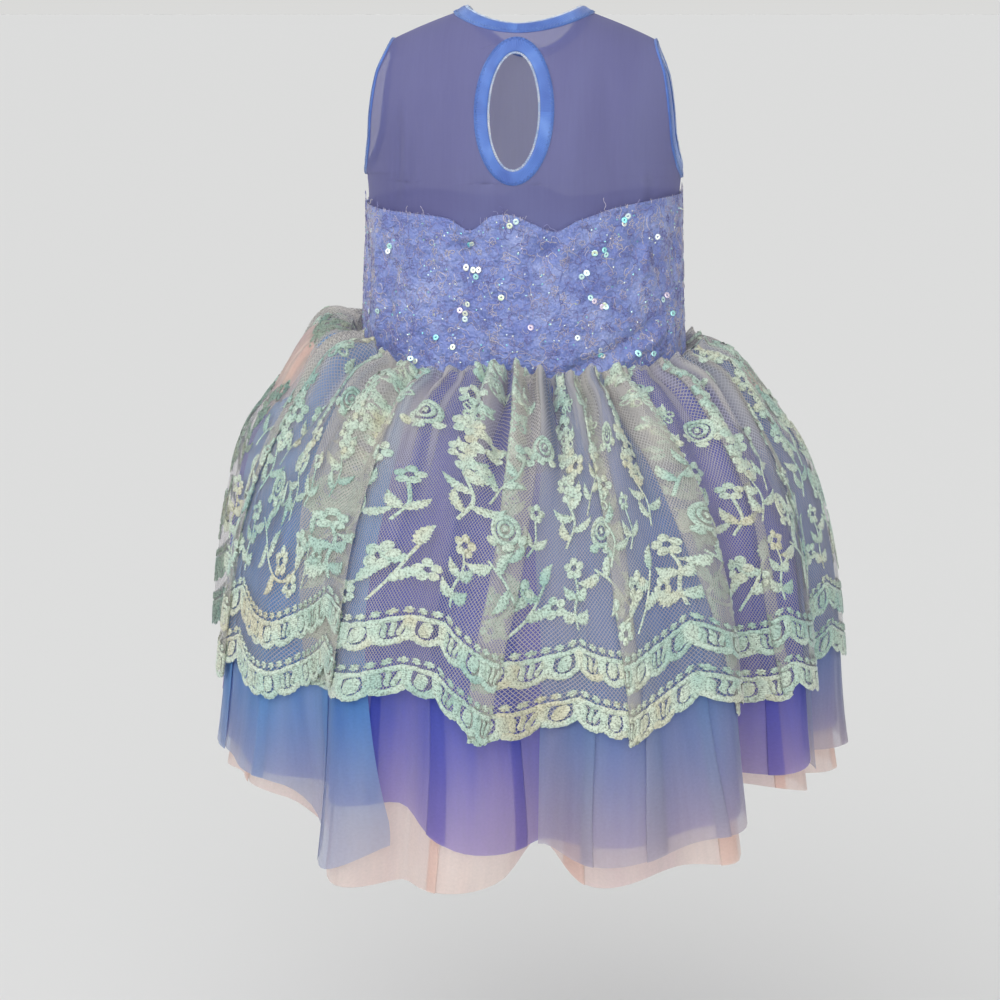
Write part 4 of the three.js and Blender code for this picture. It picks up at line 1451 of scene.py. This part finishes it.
def glintSpeckWork(bm, face, width):
    # small shiny specks in the sequins' tones; their pale tones are painted glints of sequins seen edge-on
    for _ in range(scatter["glintSpecks"]):
        x = dice.uniform(4, width - 4)
        low, high = edgesAt(face, x)
        y = dice.uniform(low + 3, high - 3)
        glintSpeck = turned([(-0.6, 0), (0, 0), (0.6, 0)], x, y, dice.uniform(0, 180))
        stitch(bm, glintSpeck, scatter["glintSpeck"], 0.7, across=2)
    for x, y, count, reach in sequinGroups[face]:
        for _ in range(count):
            ringSequin(bm, x + dice.gauss(0, reach * 0.5), y + dice.gauss(0, reach * 0.5))


def frayWork(bm, face, width):
    # loose ends along the raw top edge
    for _ in range(scatter["frays"]):
        x = dice.uniform(4, width - 4)
        top = edgesAt(face, x)[1]
        reach = dice.uniform(*scatter["fray" if dice.random() < 0.93 else "longFray"])
        lean = dice.gauss(0, 0.5)
        bend = (x + lean * 0.4 * reach, top + reach * 0.5)
        path = smoothPath([(x, top - 1.5), bend, (x + lean * reach, top + reach)], 3)
        stitch(bm, path, 0.35, 0.2, across=2)


for face in ("front", "back"):
    scatterPiece(face, "bodice_cord", "cord", cordWork)
    scatterPiece(face, "bodice_sequins_and_glints", "sequin", glintSpeckWork)
    scatterPiece(face, "bodice_frays", "cord", frayWork)
print("bodice decorated")

# ---------- floor, light and camera ----------

stage = {"floor": -930, "radius": 60000, "paper": (0.75, 0.75, 0.735)}


def studioFloor():
    bm = bmesh.new()
    bmesh.ops.create_circle(bm, cap_ends=True, segments=96, radius=stage["radius"] * mm)
    bmesh.ops.translate(bm, vec=(0, 0, stage["floor"] * mm), verts=bm.verts)
    return placePiece("studio_floor", meshOf(bm, "studio_floor"))


paper, paperTree = newFinish("pale paper")
finishWith(paper, addNode(paperTree, "BsdfDiffuse", Color=(*stage["paper"], 1)))
ground = studioFloor()
ground.data.materials.append(paper)

view = {"azimuth": 6, "elevation": 15, "distance": 1500, "target": (-17, 0, -355), "lens": 71.9,
        "sensor": 36, "clip": 40}


def aim(thing, target):
    thing.rotation_euler = (Vector(target) - thing.location).to_track_quat("-Z", "Y").to_euler()


def addCamera():
    azimuth, elevation = math.radians(view["azimuth"]), math.radians(view["elevation"])
    back = Vector((math.sin(azimuth) * math.cos(elevation), -math.cos(azimuth) * math.cos(elevation),
                   math.sin(elevation)))
    target = Vector(view["target"]) * mm
    camera = newObject("camera", bpy.data.cameras.new("camera"))
    camera.data.lens = view["lens"]
    camera.data.sensor_width = view["sensor"]
    camera.data.clip_end = view["clip"]
    camera.location = target + back * view["distance"] * mm
    aim(camera, target)
    bpy.context.scene.camera = camera


room = {"ambient": 0.42, "key": 1.85, "keyFrom": (-0.32, -0.68, 0.62), "keyEdge": 0.5, "keyFull": 0.95,
        "tint": (0.98, 0.985, 1), "fill": 15, "fillSize": 2, "fillPlace": (2.0, -2.2, 0.4),
        "fillAim": (0, 0, -0.3), "backdrop": (0.70, 0.70, 0.69)}


def lightRoom():
    # a pale room with one big soft bright patch up to the left, and a weak fill with no shadow of its own
    world = bpy.data.worlds.new("room")
    world.use_nodes = True
    world.cycles.sampling_method = "NONE"
    tree = world.node_tree
    tree.nodes.clear()
    way = addNode(tree, "TexCoord").outputs["Generated"]
    # how far a direction points at the key's patch
    key = addNode(tree, "VectorMath", {"operation": "DOT_PRODUCT"})
    byPlace(tree, key, {0: way, 1: Vector(room["keyFrom"]).normalized()})
    patch = between(tree, key.outputs["Value"], room["keyEdge"], room["keyFull"],
                    room["ambient"], room["ambient"] + room["key"])
    light = addNode(tree, "Background", Color=(*room["tint"], 1), Strength=patch)
    # the backdrop itself is plain, as pale as the floor
    backdrop = addNode(tree, "Background", Color=(*room["backdrop"], 1))
    seen = addNode(tree, "LightPath").outputs["Is Camera Ray"]
    addNode(tree, "OutputWorld", Surface=mixShaders(tree, seen, light, backdrop).outputs[0])
    bpy.context.scene.world = world
    fill = bpy.data.lights.new("fill", "AREA")
    fill.size = room["fillSize"]
    fill.energy = room["fill"]
    fill.use_shadow = False
    fill.cycles.cast_shadow = False
    lamp = newObject("fill", fill)
    lamp.location = room["fillPlace"]
    aim(lamp, room["fillAim"])


addCamera()
lightRoom()
bpy.context.scene.view_settings.view_transform = "Standard"
bpy.context.scene.cycles.transparent_max_bounces = 24

print("dressed")
